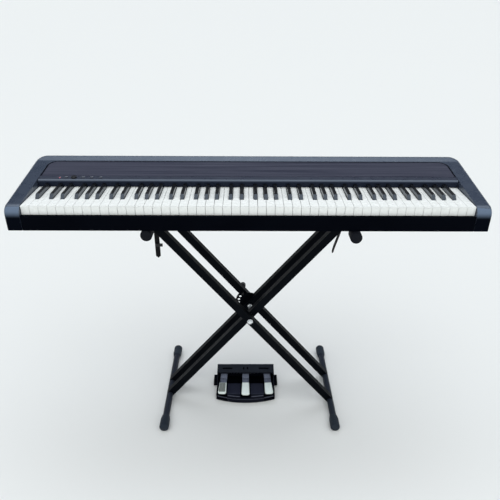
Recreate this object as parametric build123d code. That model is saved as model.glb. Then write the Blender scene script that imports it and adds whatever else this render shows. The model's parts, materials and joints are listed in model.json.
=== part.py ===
from build123d import *
import os
from math import asin, atan2, cos, degrees, hypot, radians, sin, tan

# A slab digital piano with 88 keys on a double-braced folding X stand, and a three-pedal floor unit.
# Frame: origin on the floor in the middle of the stand's feet, +X to the treble end, +Y to the rear, +Z up, mm.

# Keyboard
WHITE_KEYS = 52
KEY_PITCH = 23.5
KEY_GAP = 1.0
KEY_SIDE_GAP = 1.0
KEY_H = 26.0
KEY_WALL = 2.0
KEY_VISIBLE = 143.5
KEY_PIVOT_BACK = 65.0
KEY_TAIL = 10.0
KEY_LIP = 1.0
KEY_LIP_T = 4.0
KEY_EDGE_R = 0.6
KEY_DIP = 10.0
SHARP_W = 10.0
SHARP_H = 12.0
SHARP_SETBACK = 50.0
SHARP_BEVEL = 10.0
SHARP_SIDE_GAP = 1.0
SHARP_FRONT_GAP = 2.0
SHARP_EDGE_R = 1.2
SHARP_REAR_GAP = 1.0
TAIL_TOP_DROP = 4.0
SHARP_OFFSET = {"A": 5.0, "C": -3.5, "D": 3.5, "F": -5.0, "G": 0.0}
NOTE_NAMES = "ABCDEFG"
MIDDLE_C = 23

# Case
CASE_D = 310.0
CASE_Y = -13.0
CHEEK_W = 46.5
CHEEK_TAPER = 5.0
CASE_REAR_H = 111.0
KEY_TOP_H = 67.0
DECK_TILT = 8.3
RIDGE_TILT = 20.0
RIDGE_GAP = 1.5
RIDGE_BLEND_R = 30.0
CASE_WALL = 3.5
CASE_CORNER_R = 33.0
CASE_NOSE_R = 27.0
CASE_EDGE_R = 8.0
RAIL_T = 9.0
RAIL_H = 42.0
RAIL_FLANGE = 24.0
RAIL_EDGE_R = 3.0
RAIL_GAP = 3.0
FLOOR_T = 4.0
FLOOR_GAP = 0.5
CASE_FOOT_R = 12.0
CASE_FOOT_H = 7.0
CASE_FOOT_CHAMFER = 1.75
CASE_FOOT_X = 520.0
CASE_FOOT_INSET = 58.0
SCREW_R = 1.5
SCREW_HEAD_R = 3.5
SCREW_HEAD_H = 2.0
SCREW_DEPTH = 8.0
SCREW_CLEAR = 0.1
PILLAR_R = 5.0
PILLAR_CHEEK_BACK = (38.0, 140.0, 252.0)
PILLAR_REAR_X = (82.0, 394.0)

# Deck: the set-in panel, the control strip and its bevelled lip
PANEL_D = 97.0
PANEL_T = 3.0
PANEL_GAP = 1.6
PANEL_CORNER_R = 28.0
LEDGE_W = 8.0
LEDGE_T = 4.0
STRIP_D = 25.0
LIP_OVERHANG = 1.0
LIP_H = 6.5
LIP_BEVEL = 5.5
LIP_INSIDE = 1.25
DROP_CLEAR = 1.5

# Controls on the strip
CONTROL_BACK = 13.5
LED_X = -550.0
LED_R = 2.0
LED_PROUD = 0.6
POWER_X = -532.0
KNOB_X = -509.0
KNOB_R = 7.5
KNOB_H = 5.0
KNOB_EDGE_R = 1.2
KNOB_POINTER_W = 1.5
KNOB_POINTER_L = 4.5
KNOB_POINTER_DEPTH = 0.6
KNOB_STEM_R = 3.0
KNOB_FLOAT = 0.5
FUNCTION_X = (-483.0, -458.0, -432.0)
BUTTON_W = 9.0
BUTTON_D = 5.0
BUTTON_PROUD = 1.8
BUTTON_EDGE_R = 0.6
SWITCH_INSET = 0.8
BUTTON_TRAVEL = 1.2
BUTTON_FLANGE = 1.0
BUTTON_FLANGE_T = 1.0
CONTROL_CLEAR = 0.3
BOARD_T = 1.6
BOARD_DROP = 9.0
BOARD_POST_R = 3.0
POT_W = 10.0
POT_H = 3.5

# Inside the case
FRAME_T = 3.0
FRAME_SIDE_GAP = 4.0
STOP_POST_D = 18.0
STOP_FELT_T = 4.5
STOP_GAP = 1.2
PIVOT_BEAD_R = 3.0
PIVOT_CLEAR = 0.3
KEY_BACKSTOP_T = 4.0
KEY_BACKSTOP_H = 26.0
CONTACT_D = 45.0
MAIN_BOARD_W = 220.0
MAIN_BOARD_GAP = 26.0
MAIN_BOARD_X = -270.0
MAIN_BOARD_POST_H = 12.0
JACK_BORE_R = 3.2
JACK_BODY = 13.0
JACK_DEPTH = 16.0
JACK_PITCH = 24.0
JACK_COUNT = 2
INLET_BORE_R = 2.8
INLET_BODY = 10.0
PORT_W = 12.0
PORT_H = 11.0
PORT_WALL = 1.5
SOCKET_CLEAR = 0.5
SPEAKER_X = 450.0
SPEAKER_GAP = 8.25
SPEAKER_H = 44.0
SPEAKER_FLANGE_T = 3.0
SPEAKER_MAGNET_R = 20.0
SPEAKER_NECK_R = 16.0
SPEAKER_MAGNET_H = 14.0
GRILLE_MARGIN = 7.0
GRILLE_SLOT_W = 4.0
GRILLE_PITCH = 8.0

# Stand
STAND_X = 6.0
STAND_Y = -10.0
RIGHT_ARM_SHIFT = -12.0
ARM_AXIS_Z = 694.5
ARM_SPREAD = 286.5
FOOT_SPREAD = 281.0
LEG_T = 23.0
LEG_W = 22.0
LEG_WALL = 1.5
OUTER_LEG_Y = 62.5
LEG_GAP = 9.0
BAR_R = 11.0
BAR_WALL = 1.5
WELD_GAP = 0.1
ARM_LENGTH = 316.0
FOOT_LENGTH = 414.0
ARM_CAP_R = 16.5
FOOT_CAP_R = 16.0
CAP_LENGTH = 50.0
CAP_END_T = 4.0
CAP_NECK_R = 13.0
CAP_FLARE = 14.0
CAP_EDGE_R = 4.0
CAP_CLEAR = 0.1
FOOT_FLAT = 0.5
REST_GAP = 0.3
BOLT_R = 4.0
BOLT_CLEAR = 0.05
BOLT_HEAD_R = 7.0
BOLT_HEAD_H = 5.0
WASHER_R = 9.0
WASHER_T = 1.5
WASHER_CLEAR = 0.2
NUT_R = 7.5
NUT_H = 6.5
HUB_NUT_Y = 13.0
DISC_R = 48.0
DISC_T = 3.2
DISC_HOLE_CIRCLE = 38.0
DISC_HOLES = 3
DISC_HOLE_STEP = 18.5
DISC_CUT_SPAN = 115.0
LOCK_PIN_R = 4.0
LOCK_CLEAR = 0.3
LOCK_BORE_CLEAR = 0.1
LOCK_PULL = 7.0
LOCK_COLLAR_R = 6.0
LOCK_COLLAR_T = 2.0
LOCK_SPRING_CLOSED = 5.0
LOCK_SPRING_WIRE = 1.2
LOCK_HOUSING_R = 8.5
LOCK_HOUSING_WALL = 1.6
LOCK_END_T = 2.0
LOCK_KNOB_R = 10.0
LOCK_KNOB_EDGE_R = 2.0
LOCK_KNOB_L = 15.0
LOCK_KNOB_GAP = 1.0
STRAP_T = 1.6
STRAP_CLEAR = 0.3
STRAP_LOOP_W = 20.0
STRAP_LEFT_Y = -14.0
STRAP_RIGHT_Y = -8.0
STRAP_LEFT_L = 138.0
STRAP_LEFT_W = 15.0
STRAP_RIGHT_L = 128.0
STRAP_RIGHT_TILT = 13.0
BUCKLE_W = 24.0
BUCKLE_H = 9.0
BUCKLE_T = 5.0
BUCKLE_DROP = 96.0
BUCKLE_INSET = 1.0

# Pedal unit
PEDAL_X = -8.0
PEDAL_W = 206.0
PEDAL_REAR_Y = 57.0
PEDAL_FRONT_Y = -81.0
PEDAL_BOW = 18.0
PEDAL_FOOT_R = 8.0
PEDAL_FOOT_H = 3.0
PEDAL_FOOT_INSET = 18.0
BASE_T = 5.0
BASE_LIP_H = 20.0
BASE_LIP_D = 4.0
BASE_WALL = 5.0
ISLAND_H = 12.0
ISLAND_REAR_H = 6.0
ISLAND_D = 66.0
CHANNEL_W = 36.0
TAB_W = 13.0
TAB_D = 50.0
TAB_T = 6.0
HOOD_FRONT_Y = 22.0
HOOD_FRONT_H = 50.0
HOOD_REAR_H = 60.0
HOOD_T = 3.0
HOOD_SIDE_FRONT_Y = -14.0
HOOD_SLOT_W = 36.0
HOOD_SLOT_D = 6.0
HOOD_SLOT_INSET = 37.0
HOOD_PAIR_W = 5.0
HOOD_PAIR_D = 9.0
HOOD_PAIR_X = 7.0
AXLE_R = 3.0
AXLE_CLEAR = 0.05
AXLE_Y = 40.0
AXLE_H = 34.0
LEVER_SIDE_GAP = 5.5
LEVER_W = 24.0
LEVER_TIP_W = 29.0
LEVER_T = 7.0
LEVER_HUB_R = 8.0
LEVER_BEND_Y = -14.0
LEVER_BEND_H = 42.0
LEVER_TIP_Y = -75.0
SIDE_LEVER_SETBACK = 6.0
LEVER_TIP_H = 37.0
LEVER_CORNER_R = 7.0
LEVER_SPLAY = 7.0
RETURN_SPRING_R = 6.0
RETURN_SPRING_WALL = 1.2
RETURN_SPRING_Y = 8.0
RETURN_SPRING_GAP = 0.3

# Worked-out places, stand first because it carries the case
FOOT_AXIS_Z = FOOT_CAP_R - FOOT_FLAT
LEG_RUN = ARM_SPREAD + FOOT_SPREAD
LEG_RISE = ARM_AXIS_Z - FOOT_AXIS_Z
PIVOT_Z = FOOT_AXIS_Z + LEG_RISE * FOOT_SPREAD / LEG_RUN
LEG_LENGTH = hypot(LEG_RUN, LEG_RISE)
LEG_LEAN = degrees(atan2(LEG_RUN, LEG_RISE))
INNER_LEG_Y = OUTER_LEG_Y - LEG_W - LEG_GAP
OUTER_FACE = OUTER_LEG_Y + LEG_W / 2
INNER_FACE = INNER_LEG_Y + LEG_W / 2
CASE_Z0 = ARM_AXIS_Z + ARM_CAP_R + REST_GAP
FLOOR_TOP = CASE_Z0 + FLOOR_T
KEYBOARD_W = WHITE_KEYS * KEY_PITCH
OPENING_HALF = KEYBOARD_W / 2 + KEY_SIDE_GAP
CASE_HALF = OPENING_HALF + CHEEK_W
CASE_FRONT = CASE_Y - CASE_D / 2
CASE_REAR = CASE_Y + CASE_D / 2
KEY_FRONT = CASE_FRONT + RAIL_T + RAIL_GAP
KEY_TOP = CASE_Z0 + KEY_TOP_H
KEY_BOTTOM = KEY_TOP - KEY_H
DROP_Y = KEY_FRONT + KEY_VISIBLE
LIP_Y = DROP_Y - LIP_OVERHANG
STRIP_REAR = LIP_Y + STRIP_D
CONTROL_Y = LIP_Y + CONTROL_BACK
PANEL_REAR = STRIP_REAR + PANEL_D
RIDGE_Y = PANEL_REAR + RIDGE_GAP
KEY_PIVOT_Y = DROP_Y + KEY_PIVOT_BACK
KEY_REAR = KEY_PIVOT_Y + KEY_TAIL
SHARP_FRONT = KEY_FRONT + SHARP_SETBACK
SHARP_SLOT = SHARP_W + 2 * SHARP_SIDE_GAP
FRAME_TOP = FLOOR_TOP + FRAME_T
FRAME_HALF = OPENING_HALF - FRAME_SIDE_GAP
KEY_SLOPE = asin(KEY_DIP / (KEY_PIVOT_Y - KEY_FRONT))
STRIP_HALF = OPENING_HALF - PANEL_GAP
FRAME_REAR = KEY_REAR + 2 * KEY_BACKSTOP_T
WALL_Y = CASE_REAR - CASE_WALL
BOARD_REAR = WALL_Y - SOCKET_CLEAR
MAIN_BOARD_D = BOARD_REAR - FRAME_REAR - MAIN_BOARD_GAP
SPEAKER_Y = (FRAME_REAR + WALL_Y) / 2
SPEAKER_R = (WALL_Y - FRAME_REAR) / 2 - SPEAKER_GAP
PILLAR_Y = [CASE_FRONT + back for back in PILLAR_CHEEK_BACK]
CASE_FOOT_Y = (CASE_FRONT + CASE_FOOT_INSET, CASE_REAR - CASE_FOOT_INSET)
PEDAL_PITCH = (PEDAL_W - LEVER_TIP_W) / 2 - LEVER_SIDE_GAP
HOOD_SLOT_X = PEDAL_W / 2 - HOOD_SLOT_INSET
LEVER_X = [PEDAL_X + step * PEDAL_PITCH for step in (-1, 0, 1)]


def deck_z(y):
    """Height of the sloping deck at a depth y."""
    return CASE_Z0 + CASE_REAR_H - (CASE_REAR - y) * tan(radians(DECK_TILT))


DECK = Plane(
    origin=(0, 0, deck_z(0)),
    x_dir=(1, 0, 0),
    z_dir=(0, -sin(radians(DECK_TILT)), cos(radians(DECK_TILT))),
)


def deck_y(y):
    """Distance along the deck for a depth y."""
    return y / cos(radians(DECK_TILT))


def block(x0, x1, y0, y1, z0, z1):
    """Box between two corners."""
    return Pos((x0 + x1) / 2, (y0 + y1) / 2, (z0 + z1) / 2) * Box(x1 - x0, y1 - y0, z1 - z0)


def rod_x(y, z, radius, x0, x1):
    """Round bar along X."""
    return Pos((x0 + x1) / 2, y, z) * Rot(0, 90, 0) * Cylinder(radius, x1 - x0)


def rod_y(x, z, radius, y0, y1):
    """Round bar along Y."""
    return Pos(x, (y0 + y1) / 2, z) * Rot(90, 0, 0) * Cylinder(radius, y1 - y0)


def rod_z(x, y, radius, z0, z1):
    """Round bar along Z."""
    return Pos(x, y, (z0 + z1) / 2) * Cylinder(radius, z1 - z0)


def side_face(points):
    """Flat outline in the YZ plane."""
    return make_face(Polyline(*points, close=True))


def along_x(face, x0, x1):
    """Side outline carried along X."""
    return extrude(Plane.YZ.offset(x0) * face, amount=x1 - x0)


def deck_slab(outline, z0, z1):
    """Outline on the deck given a thickness square to it."""
    return extrude(DECK.offset(z0) * outline, amount=z1 - z0)


def deck_rect(x0, x1, y0, y1):
    """Rectangle on the deck between two depths."""
    centre = Pos((x0 + x1) / 2, (deck_y(y0) + deck_y(y1)) / 2)
    return centre * Rectangle(x1 - x0, deck_y(y1) - deck_y(y0))


def deck_disc(x, radius):
    """Circle on the line of the controls."""
    return Pos(x, deck_y(CONTROL_Y)) * Circle(radius)


def rounded_rear(outline, radius):
    """Outline with its two rear corners rounded."""
    return fillet(outline.vertices().sort_by(Axis.Y)[-2:], radius)


def plan_rect(half, y0, y1, rear_r):
    """Rectangle across the case with rounded rear corners."""
    return rounded_rear(Pos(0, (y0 + y1) / 2) * Rectangle(2 * half, y1 - y0), rear_r)


def between(plan, z0, z1):
    """Plan outline given a height."""
    return extrude(Plane.XY.offset(z0) * plan, amount=z1 - z0)


# Case shells


def case_half(y):
    """Half the width of the case at a depth y: the cheeks narrow towards the front."""
    return CASE_HALF - CHEEK_TAPER * (CASE_REAR - y) / CASE_D


def case_plan(inset, front):
    """Plan of the case moved inwards by inset, from a front line on, with rounded rear corners."""
    rear = CASE_REAR - inset
    near = case_half(front) - inset
    far = case_half(rear) - inset
    outline = make_face(Polyline((-near, front), (near, front), (far, rear), (-far, rear), close=True))
    return rounded_rear(outline, CASE_CORNER_R - inset)


def case_form(inset, bottom):
    """Whole case as a solid, moved inwards by inset and open down to bottom."""
    front = CASE_FRONT + inset
    rear = CASE_REAR - inset
    drop = inset / cos(radians(DECK_TILT))
    rise = tan(radians(RIDGE_TILT))
    ridge_drop = inset / cos(radians(RIDGE_TILT))
    kink = RIDGE_Y + (ridge_drop - drop) / (rise - tan(radians(DECK_TILT)))
    crest = deck_z(RIDGE_Y) + (rear - RIDGE_Y) * rise - ridge_drop
    face = side_face(
        [
            (front, bottom),
            (front, deck_z(front) - drop),
            (kink, deck_z(kink) - drop),
            (rear, crest),
            (rear, bottom),
        ]
    )
    corners = face.vertices().sort_by(Axis.X)
    nose = corners[:2].sort_by(Axis.Y)[-1]
    face = fillet(nose, CASE_NOSE_R - inset)
    bend = [corner for corner in face.vertices() if abs(corner.X - kink) < RIDGE_GAP]
    face = fillet(bend, RIDGE_BLEND_R)
    form = along_x(face, -CASE_HALF, CASE_HALF)
    return form & between(case_plan(inset, front), bottom, crest)


def round_top(form):
    """Outer top edges eased along the sides and the rear."""
    top = form.faces().filter_by(GeomType.PLANE).sort_by(Axis.Z)[-1]
    front = top.edges().sort_by(Axis.Y)[0]
    return fillet([edge for edge in top.edges() if edge != front], CASE_EDGE_R)


def pillar_places():
    """Where the floor is screwed to the upper case."""
    cheek = CASE_HALF - CHEEK_W / 2
    rear = (PANEL_REAR + CASE_REAR) / 2
    sides = [(side * cheek, y) for side in (-1, 1) for y in PILLAR_Y]
    return sides + [(side * x, rear) for side in (-1, 1) for x in PILLAR_REAR_X]


def panel_ledge():
    """Shelf below the panel, hung from the rear border and the cheeks."""
    start = DROP_Y + LEDGE_W
    edge = deck_rect(-OPENING_HALF, OPENING_HALF, start, PANEL_REAR)
    edge = rounded_rear(edge, PANEL_CORNER_R)
    rim = deck_rect(-OPENING_HALF - CASE_WALL, OPENING_HALF + CASE_WALL, start, PANEL_REAR + CASE_WALL)
    rim = rounded_rear(rim, PANEL_CORNER_R + CASE_WALL)
    hole = deck_rect(-OPENING_HALF + LEDGE_W, OPENING_HALF - LEDGE_W, 2 * CASE_FRONT, PANEL_REAR - LEDGE_W)
    hole = rounded_rear(hole, PANEL_CORNER_R - LEDGE_W)
    shelf = deck_slab(rim - hole, -PANEL_T - LEDGE_T, -PANEL_T)
    return shelf + deck_slab(rim - edge, -PANEL_T - LEDGE_T, -CASE_WALL / 2)


def upper_case():
    """Cheeks and rear border in one shell, open above the keys and the panel."""
    outer = round_top(case_form(0, CASE_Z0))
    top = CASE_Z0 + 2 * CASE_REAR_H
    opening = plan_rect(OPENING_HALF, 2 * CASE_FRONT, PANEL_REAR, PANEL_CORNER_R)
    shell = outer - case_form(CASE_WALL, CASE_Z0 - FLOOR_T) - between(opening, CASE_Z0 - FLOOR_T, top)
    for side in (-1, 1):
        x0, x1 = sorted((side * OPENING_HALF, side * (OPENING_HALF + CASE_WALL)))
        shell += outer & block(x0, x1, CASE_FRONT, PANEL_REAR - PANEL_CORNER_R, CASE_Z0, top)
    for x, y in pillar_places():
        shell += outer & rod_z(x, y, PILLAR_R, CASE_Z0, top)
    shell += panel_ledge()
    shell -= between(floor_plan(0), CASE_Z0 - FLOOR_T, FLOOR_TOP)
    for x, y in pillar_places():
        shell -= rod_z(x, y, SCREW_R + SCREW_CLEAR, FLOOR_TOP, FLOOR_TOP + SCREW_DEPTH + SCREW_CLEAR)
    for hole in socket_bodies(SOCKET_CLEAR):
        shell -= hole
    return shell


def floor_plan(shrink):
    """Outline of the floor, which fits inside the case walls."""
    return case_plan(CASE_WALL + shrink, CASE_FRONT + RAIL_T + shrink)


def lower_case():
    floor = between(floor_plan(FLOOR_GAP), CASE_Z0, FLOOR_TOP)
    for x, y in pillar_places():
        floor -= rod_z(x, y, SCREW_R + SCREW_CLEAR, CASE_Z0, FLOOR_TOP)
    for side in (-1, 1):
        last = int((SPEAKER_R - GRILLE_MARGIN) / GRILLE_PITCH)
        for slot in range(-last, last + 1):
            offset = slot * GRILLE_PITCH
            half = (SPEAKER_R**2 - offset**2) ** 0.5 - GRILLE_MARGIN
            x = side * SPEAKER_X + offset
            floor -= block(
                x - GRILLE_SLOT_W / 2,
                x + GRILLE_SLOT_W / 2,
                SPEAKER_Y - half,
                SPEAKER_Y + half,
                CASE_Z0,
                FLOOR_TOP,
            )
    for x, y in board_posts():
        floor += rod_z(x, y, BOARD_POST_R, FLOOR_TOP, FLOOR_TOP + MAIN_BOARD_POST_H)
    return floor


def case_screws():
    screws = []
    for x, y in pillar_places():
        head = rod_z(x, y, SCREW_HEAD_R, CASE_Z0 - SCREW_HEAD_H, CASE_Z0)
        screws.append(head + rod_z(x, y, SCREW_R, CASE_Z0 - SCREW_HEAD_H, FLOOR_TOP + SCREW_DEPTH))
    return screws


def case_feet():
    feet = []
    for x in (-CASE_FOOT_X, CASE_FOOT_X):
        for y in CASE_FOOT_Y:
            foot = rod_z(x, y, CASE_FOOT_R, CASE_Z0 - CASE_FOOT_H, CASE_Z0)
            feet.append(chamfer(foot.faces().sort_by(Axis.Z)[0].edges(), CASE_FOOT_CHAMFER))
    return feet


def front_rail():
    top = CASE_Z0 + RAIL_H
    back = CASE_FRONT + RAIL_T
    face = side_face(
        [
            (CASE_FRONT, CASE_Z0),
            (CASE_FRONT, top),
            (back, top),
            (back, FLOOR_TOP + FRAME_T),
            (back + RAIL_FLANGE, FLOOR_TOP + FRAME_T),
            (back + RAIL_FLANGE, FLOOR_TOP),
            (back, FLOOR_TOP),
            (back, CASE_Z0),
        ]
    )
    crest = face.vertices().sort_by(Axis.Y)[-2:].sort_by(Axis.X)[0]
    return along_x(fillet(crest, RAIL_EDGE_R), -STRIP_HALF, STRIP_HALF)


# Deck pieces


def top_panel():
    outline = deck_rect(-STRIP_HALF, STRIP_HALF, STRIP_REAR + PANEL_GAP / 2, PANEL_REAR - PANEL_GAP)
    return deck_slab(rounded_rear(outline, PANEL_CORNER_R - PANEL_GAP), -PANEL_T, 0)


def button_rect(x, grow):
    """Button outline on the control line, enlarged by grow all round."""
    return Pos(x, deck_y(CONTROL_Y)) * Rectangle(BUTTON_W + 2 * grow, BUTTON_D + 2 * grow)


def board_pads():
    """Where the control board is screwed up under the strip."""
    ends = (LED_X - 2 * BUTTON_W, (KNOB_X + POWER_X) / 2, FUNCTION_X[-1] + 2 * BUTTON_W)
    return [Pos(x, deck_y(CONTROL_Y)) * Circle(BOARD_POST_R) for x in ends]


def control_strip():
    rear = STRIP_REAR - PANEL_GAP / 2
    wall = PANEL_T
    foot = KEY_TOP + DROP_CLEAR
    nose = deck_z(LIP_Y)
    inside = LIP_Y + wall + LIP_INSIDE
    face = side_face(
        [
            (rear, deck_z(rear)),
            (LIP_Y, nose),
            (LIP_Y, nose - LIP_H),
            (DROP_Y, foot),
            (DROP_Y + wall, foot),
            (inside, nose - LIP_H),
            (inside, deck_z(inside) - wall),
            (rear, deck_z(rear) - wall),
        ]
    )
    corner = face.vertices().sort_by(Axis.X)[:2].sort_by(Axis.Y)[-1]
    strip = along_x(chamfer(corner, LIP_BEVEL), -STRIP_HALF, STRIP_HALF)
    for pad in board_pads():
        strip += deck_slab(pad, -BOARD_DROP, -wall / 2)
    for x in (POWER_X, *FUNCTION_X):
        strip -= deck_slab(button_rect(x, CONTROL_CLEAR), -2 * wall, wall)
    strip -= deck_slab(deck_disc(KNOB_X, KNOB_STEM_R + CONTROL_CLEAR), -2 * wall, wall)
    return strip - deck_slab(deck_disc(LED_X, LED_R + CONTROL_CLEAR), -2 * wall, wall)


def control_board():
    x0 = LED_X - 3 * BUTTON_W
    x1 = FUNCTION_X[-1] + 3 * BUTTON_W
    outline = deck_rect(x0, x1, DROP_Y + LIP_H, STRIP_REAR - LEDGE_T)
    board = deck_slab(outline, -BOARD_DROP - BOARD_T, -BOARD_DROP)
    pot = Pos(KNOB_X, deck_y(CONTROL_Y)) * Rectangle(POT_W, POT_W)
    board += deck_slab(pot, -BOARD_DROP, -BOARD_DROP + POT_H)
    for x in (POWER_X, *FUNCTION_X):
        switch_top = -PANEL_T - BUTTON_FLANGE_T - BUTTON_TRAVEL - 2 * CONTROL_CLEAR
        board += deck_slab(button_rect(x, -SWITCH_INSET), -BOARD_DROP, switch_top)
    return board


def power_led():
    return deck_slab(deck_disc(LED_X, LED_R), -BOARD_DROP, LED_PROUD)


def push_button(x):
    cap = deck_slab(button_rect(x, 0), -PANEL_T - CONTROL_CLEAR, BUTTON_PROUD)
    cap = fillet(cap.faces().sort_by(Axis.Z)[-1].edges(), BUTTON_EDGE_R)
    flange = deck_slab(
        button_rect(x, BUTTON_FLANGE), -PANEL_T - CONTROL_CLEAR - BUTTON_FLANGE_T, -PANEL_T - CONTROL_CLEAR
    )
    return cap + flange


def volume_knob():
    knob = deck_slab(deck_disc(KNOB_X, KNOB_R), KNOB_FLOAT, KNOB_FLOAT + KNOB_H)
    rim = knob.edges().filter_by(GeomType.CIRCLE).sort_by(Axis.Z)[-1]
    knob = fillet(rim, KNOB_EDGE_R)
    pointer_y = deck_y(CONTROL_Y) + KNOB_R - KNOB_EDGE_R - KNOB_POINTER_L / 2
    pointer = Pos(KNOB_X, pointer_y) * Rectangle(KNOB_POINTER_W, KNOB_POINTER_L)
    knob -= deck_slab(pointer, KNOB_FLOAT + KNOB_H - KNOB_POINTER_DEPTH, KNOB_FLOAT + 2 * KNOB_H)
    stem_end = -BOARD_DROP + POT_H + CONTROL_CLEAR
    return knob + deck_slab(deck_disc(KNOB_X, KNOB_STEM_R), stem_end, KNOB_FLOAT)


# Inside the case


def key_frame():
    """Pressed tray with a front post for the stop felt and a rear back stop."""
    front = CASE_FRONT + RAIL_T + RAIL_FLANGE + FLOOR_GAP
    post_top = key_under(front) - STOP_GAP - STOP_FELT_T
    back = KEY_REAR + KEY_BACKSTOP_T
    face = side_face(
        [
            (front, FLOOR_TOP),
            (front, post_top),
            (front + STOP_POST_D, post_top),
            (front + STOP_POST_D, FRAME_TOP),
            (back, FRAME_TOP),
            (back, FRAME_TOP + KEY_BACKSTOP_H),
            (back + KEY_BACKSTOP_T, FRAME_TOP + KEY_BACKSTOP_H),
            (back + KEY_BACKSTOP_T, FLOOR_TOP),
        ]
    )
    return along_x(face, -FRAME_HALF, FRAME_HALF)


def key_under(y):
    """Height of a key's lower edge at depth y with the key fully down."""
    return KEY_BOTTOM - (KEY_PIVOT_Y - y) * tan(KEY_SLOPE)


def key_stop_felt():
    front = CASE_FRONT + RAIL_T + RAIL_FLANGE + FLOOR_GAP
    top = key_under(front) - STOP_GAP
    return block(-FRAME_HALF, FRAME_HALF, front, front + STOP_POST_D, top - STOP_FELT_T, top)


def key_pivot_rail():
    web = block(
        -FRAME_HALF,
        FRAME_HALF,
        KEY_PIVOT_Y - PIVOT_BEAD_R,
        KEY_PIVOT_Y + PIVOT_BEAD_R,
        FRAME_TOP,
        KEY_BOTTOM,
    )
    return web + rod_x(KEY_PIVOT_Y, KEY_BOTTOM, PIVOT_BEAD_R, -FRAME_HALF, FRAME_HALF)


def contact_board():
    front = (SHARP_FRONT + KEY_PIVOT_Y - CONTACT_D) / 2
    return block(-FRAME_HALF, FRAME_HALF, front, front + CONTACT_D, FRAME_TOP, FRAME_TOP + BOARD_T)


def board_posts():
    """Corner posts below the main board."""
    inset = 2 * BOARD_POST_R
    xs = (MAIN_BOARD_X - MAIN_BOARD_W / 2 + inset, MAIN_BOARD_X + MAIN_BOARD_W / 2 - inset)
    ys = (BOARD_REAR - MAIN_BOARD_D + inset, BOARD_REAR - JACK_DEPTH - inset)
    return [(x, y) for x in xs for y in ys]


def socket_row():
    """Centres along X of the jacks, the power inlet and the data port."""
    first = MAIN_BOARD_X - MAIN_BOARD_W / 2 + JACK_PITCH
    jacks = [first + step * JACK_PITCH for step in range(JACK_COUNT)]
    inlet = jacks[-1] + 2 * JACK_PITCH
    return jacks, inlet, inlet + 2 * JACK_PITCH


def socket_bodies(grow):
    """Socket housings on the board's rear edge, enlarged by grow."""
    jacks, inlet, port = socket_row()
    base = FLOOR_TOP + MAIN_BOARD_POST_H + BOARD_T
    sizes = [(x, JACK_BODY, JACK_BODY) for x in jacks]
    sizes += [(inlet, INLET_BODY, INLET_BODY), (port, PORT_W + 2 * PORT_WALL, PORT_H + 2 * PORT_WALL)]
    bodies = []
    for x, width, height in sizes:
        bodies.append(
            block(
                x - width / 2 - grow,
                x + width / 2 + grow,
                CASE_REAR - JACK_DEPTH,
                CASE_REAR,
                base - grow,
                base + height + grow,
            )
        )
    return bodies


def main_board():
    """Circuit board and the sockets soldered to it."""
    base = FLOOR_TOP + MAIN_BOARD_POST_H
    top = base + BOARD_T
    board = block(
        MAIN_BOARD_X - MAIN_BOARD_W / 2,
        MAIN_BOARD_X + MAIN_BOARD_W / 2,
        BOARD_REAR - MAIN_BOARD_D,
        BOARD_REAR,
        base,
        top,
    )
    jacks, inlet, port = socket_row()
    mouth = CASE_REAR - JACK_DEPTH + PORT_WALL
    sill = top + PORT_WALL
    cuts = [rod_y(x, top + JACK_BODY / 2, JACK_BORE_R, mouth, CASE_REAR) for x in jacks]
    cuts.append(rod_y(inlet, top + INLET_BODY / 2, INLET_BORE_R, mouth, CASE_REAR))
    cuts.append(block(port - PORT_W / 2, port + PORT_W / 2, mouth, CASE_REAR, sill, sill + PORT_H))
    return [board] + [body - cut for body, cut in zip(socket_bodies(0), cuts)]


def speakers():
    pair = []
    for side in (-1, 1):
        top = FLOOR_TOP + SPEAKER_H
        flange = rod_z(side * SPEAKER_X, SPEAKER_Y, SPEAKER_R, FLOOR_TOP, FLOOR_TOP + SPEAKER_FLANGE_T)
        cone_h = SPEAKER_H - SPEAKER_MAGNET_H - SPEAKER_FLANGE_T
        cone = Pos(side * SPEAKER_X, SPEAKER_Y, FLOOR_TOP + SPEAKER_FLANGE_T + cone_h / 2)
        basket = cone * Cone(SPEAKER_R - 2 * SPEAKER_FLANGE_T, SPEAKER_NECK_R, cone_h)
        magnet = rod_z(side * SPEAKER_X, SPEAKER_Y, SPEAKER_MAGNET_R, top - SPEAKER_MAGNET_H, top)
        pair.append(flange + basket + magnet)
    return pair


# Keys


def note(index):
    """Letter of a white key, counted from the bass end."""
    return NOTE_NAMES[index % 7]


def key_left(index):
    """Left edge of a white key's share of the keyboard."""
    return -KEYBOARD_W / 2 + index * KEY_PITCH


def sharp_centre(index):
    """Middle of the black key to the right of a white key, or None where there is none."""
    if note(index) not in SHARP_OFFSET or index >= WHITE_KEYS - 1:
        return None
    return key_left(index + 1) + SHARP_OFFSET[note(index)]


def key_notch(x0, x1):
    """Rounded notch that sits over the pivot bead."""
    return rod_x(KEY_PIVOT_Y, KEY_BOTTOM, PIVOT_BEAD_R + PIVOT_CLEAR, x0, x1)


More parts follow.
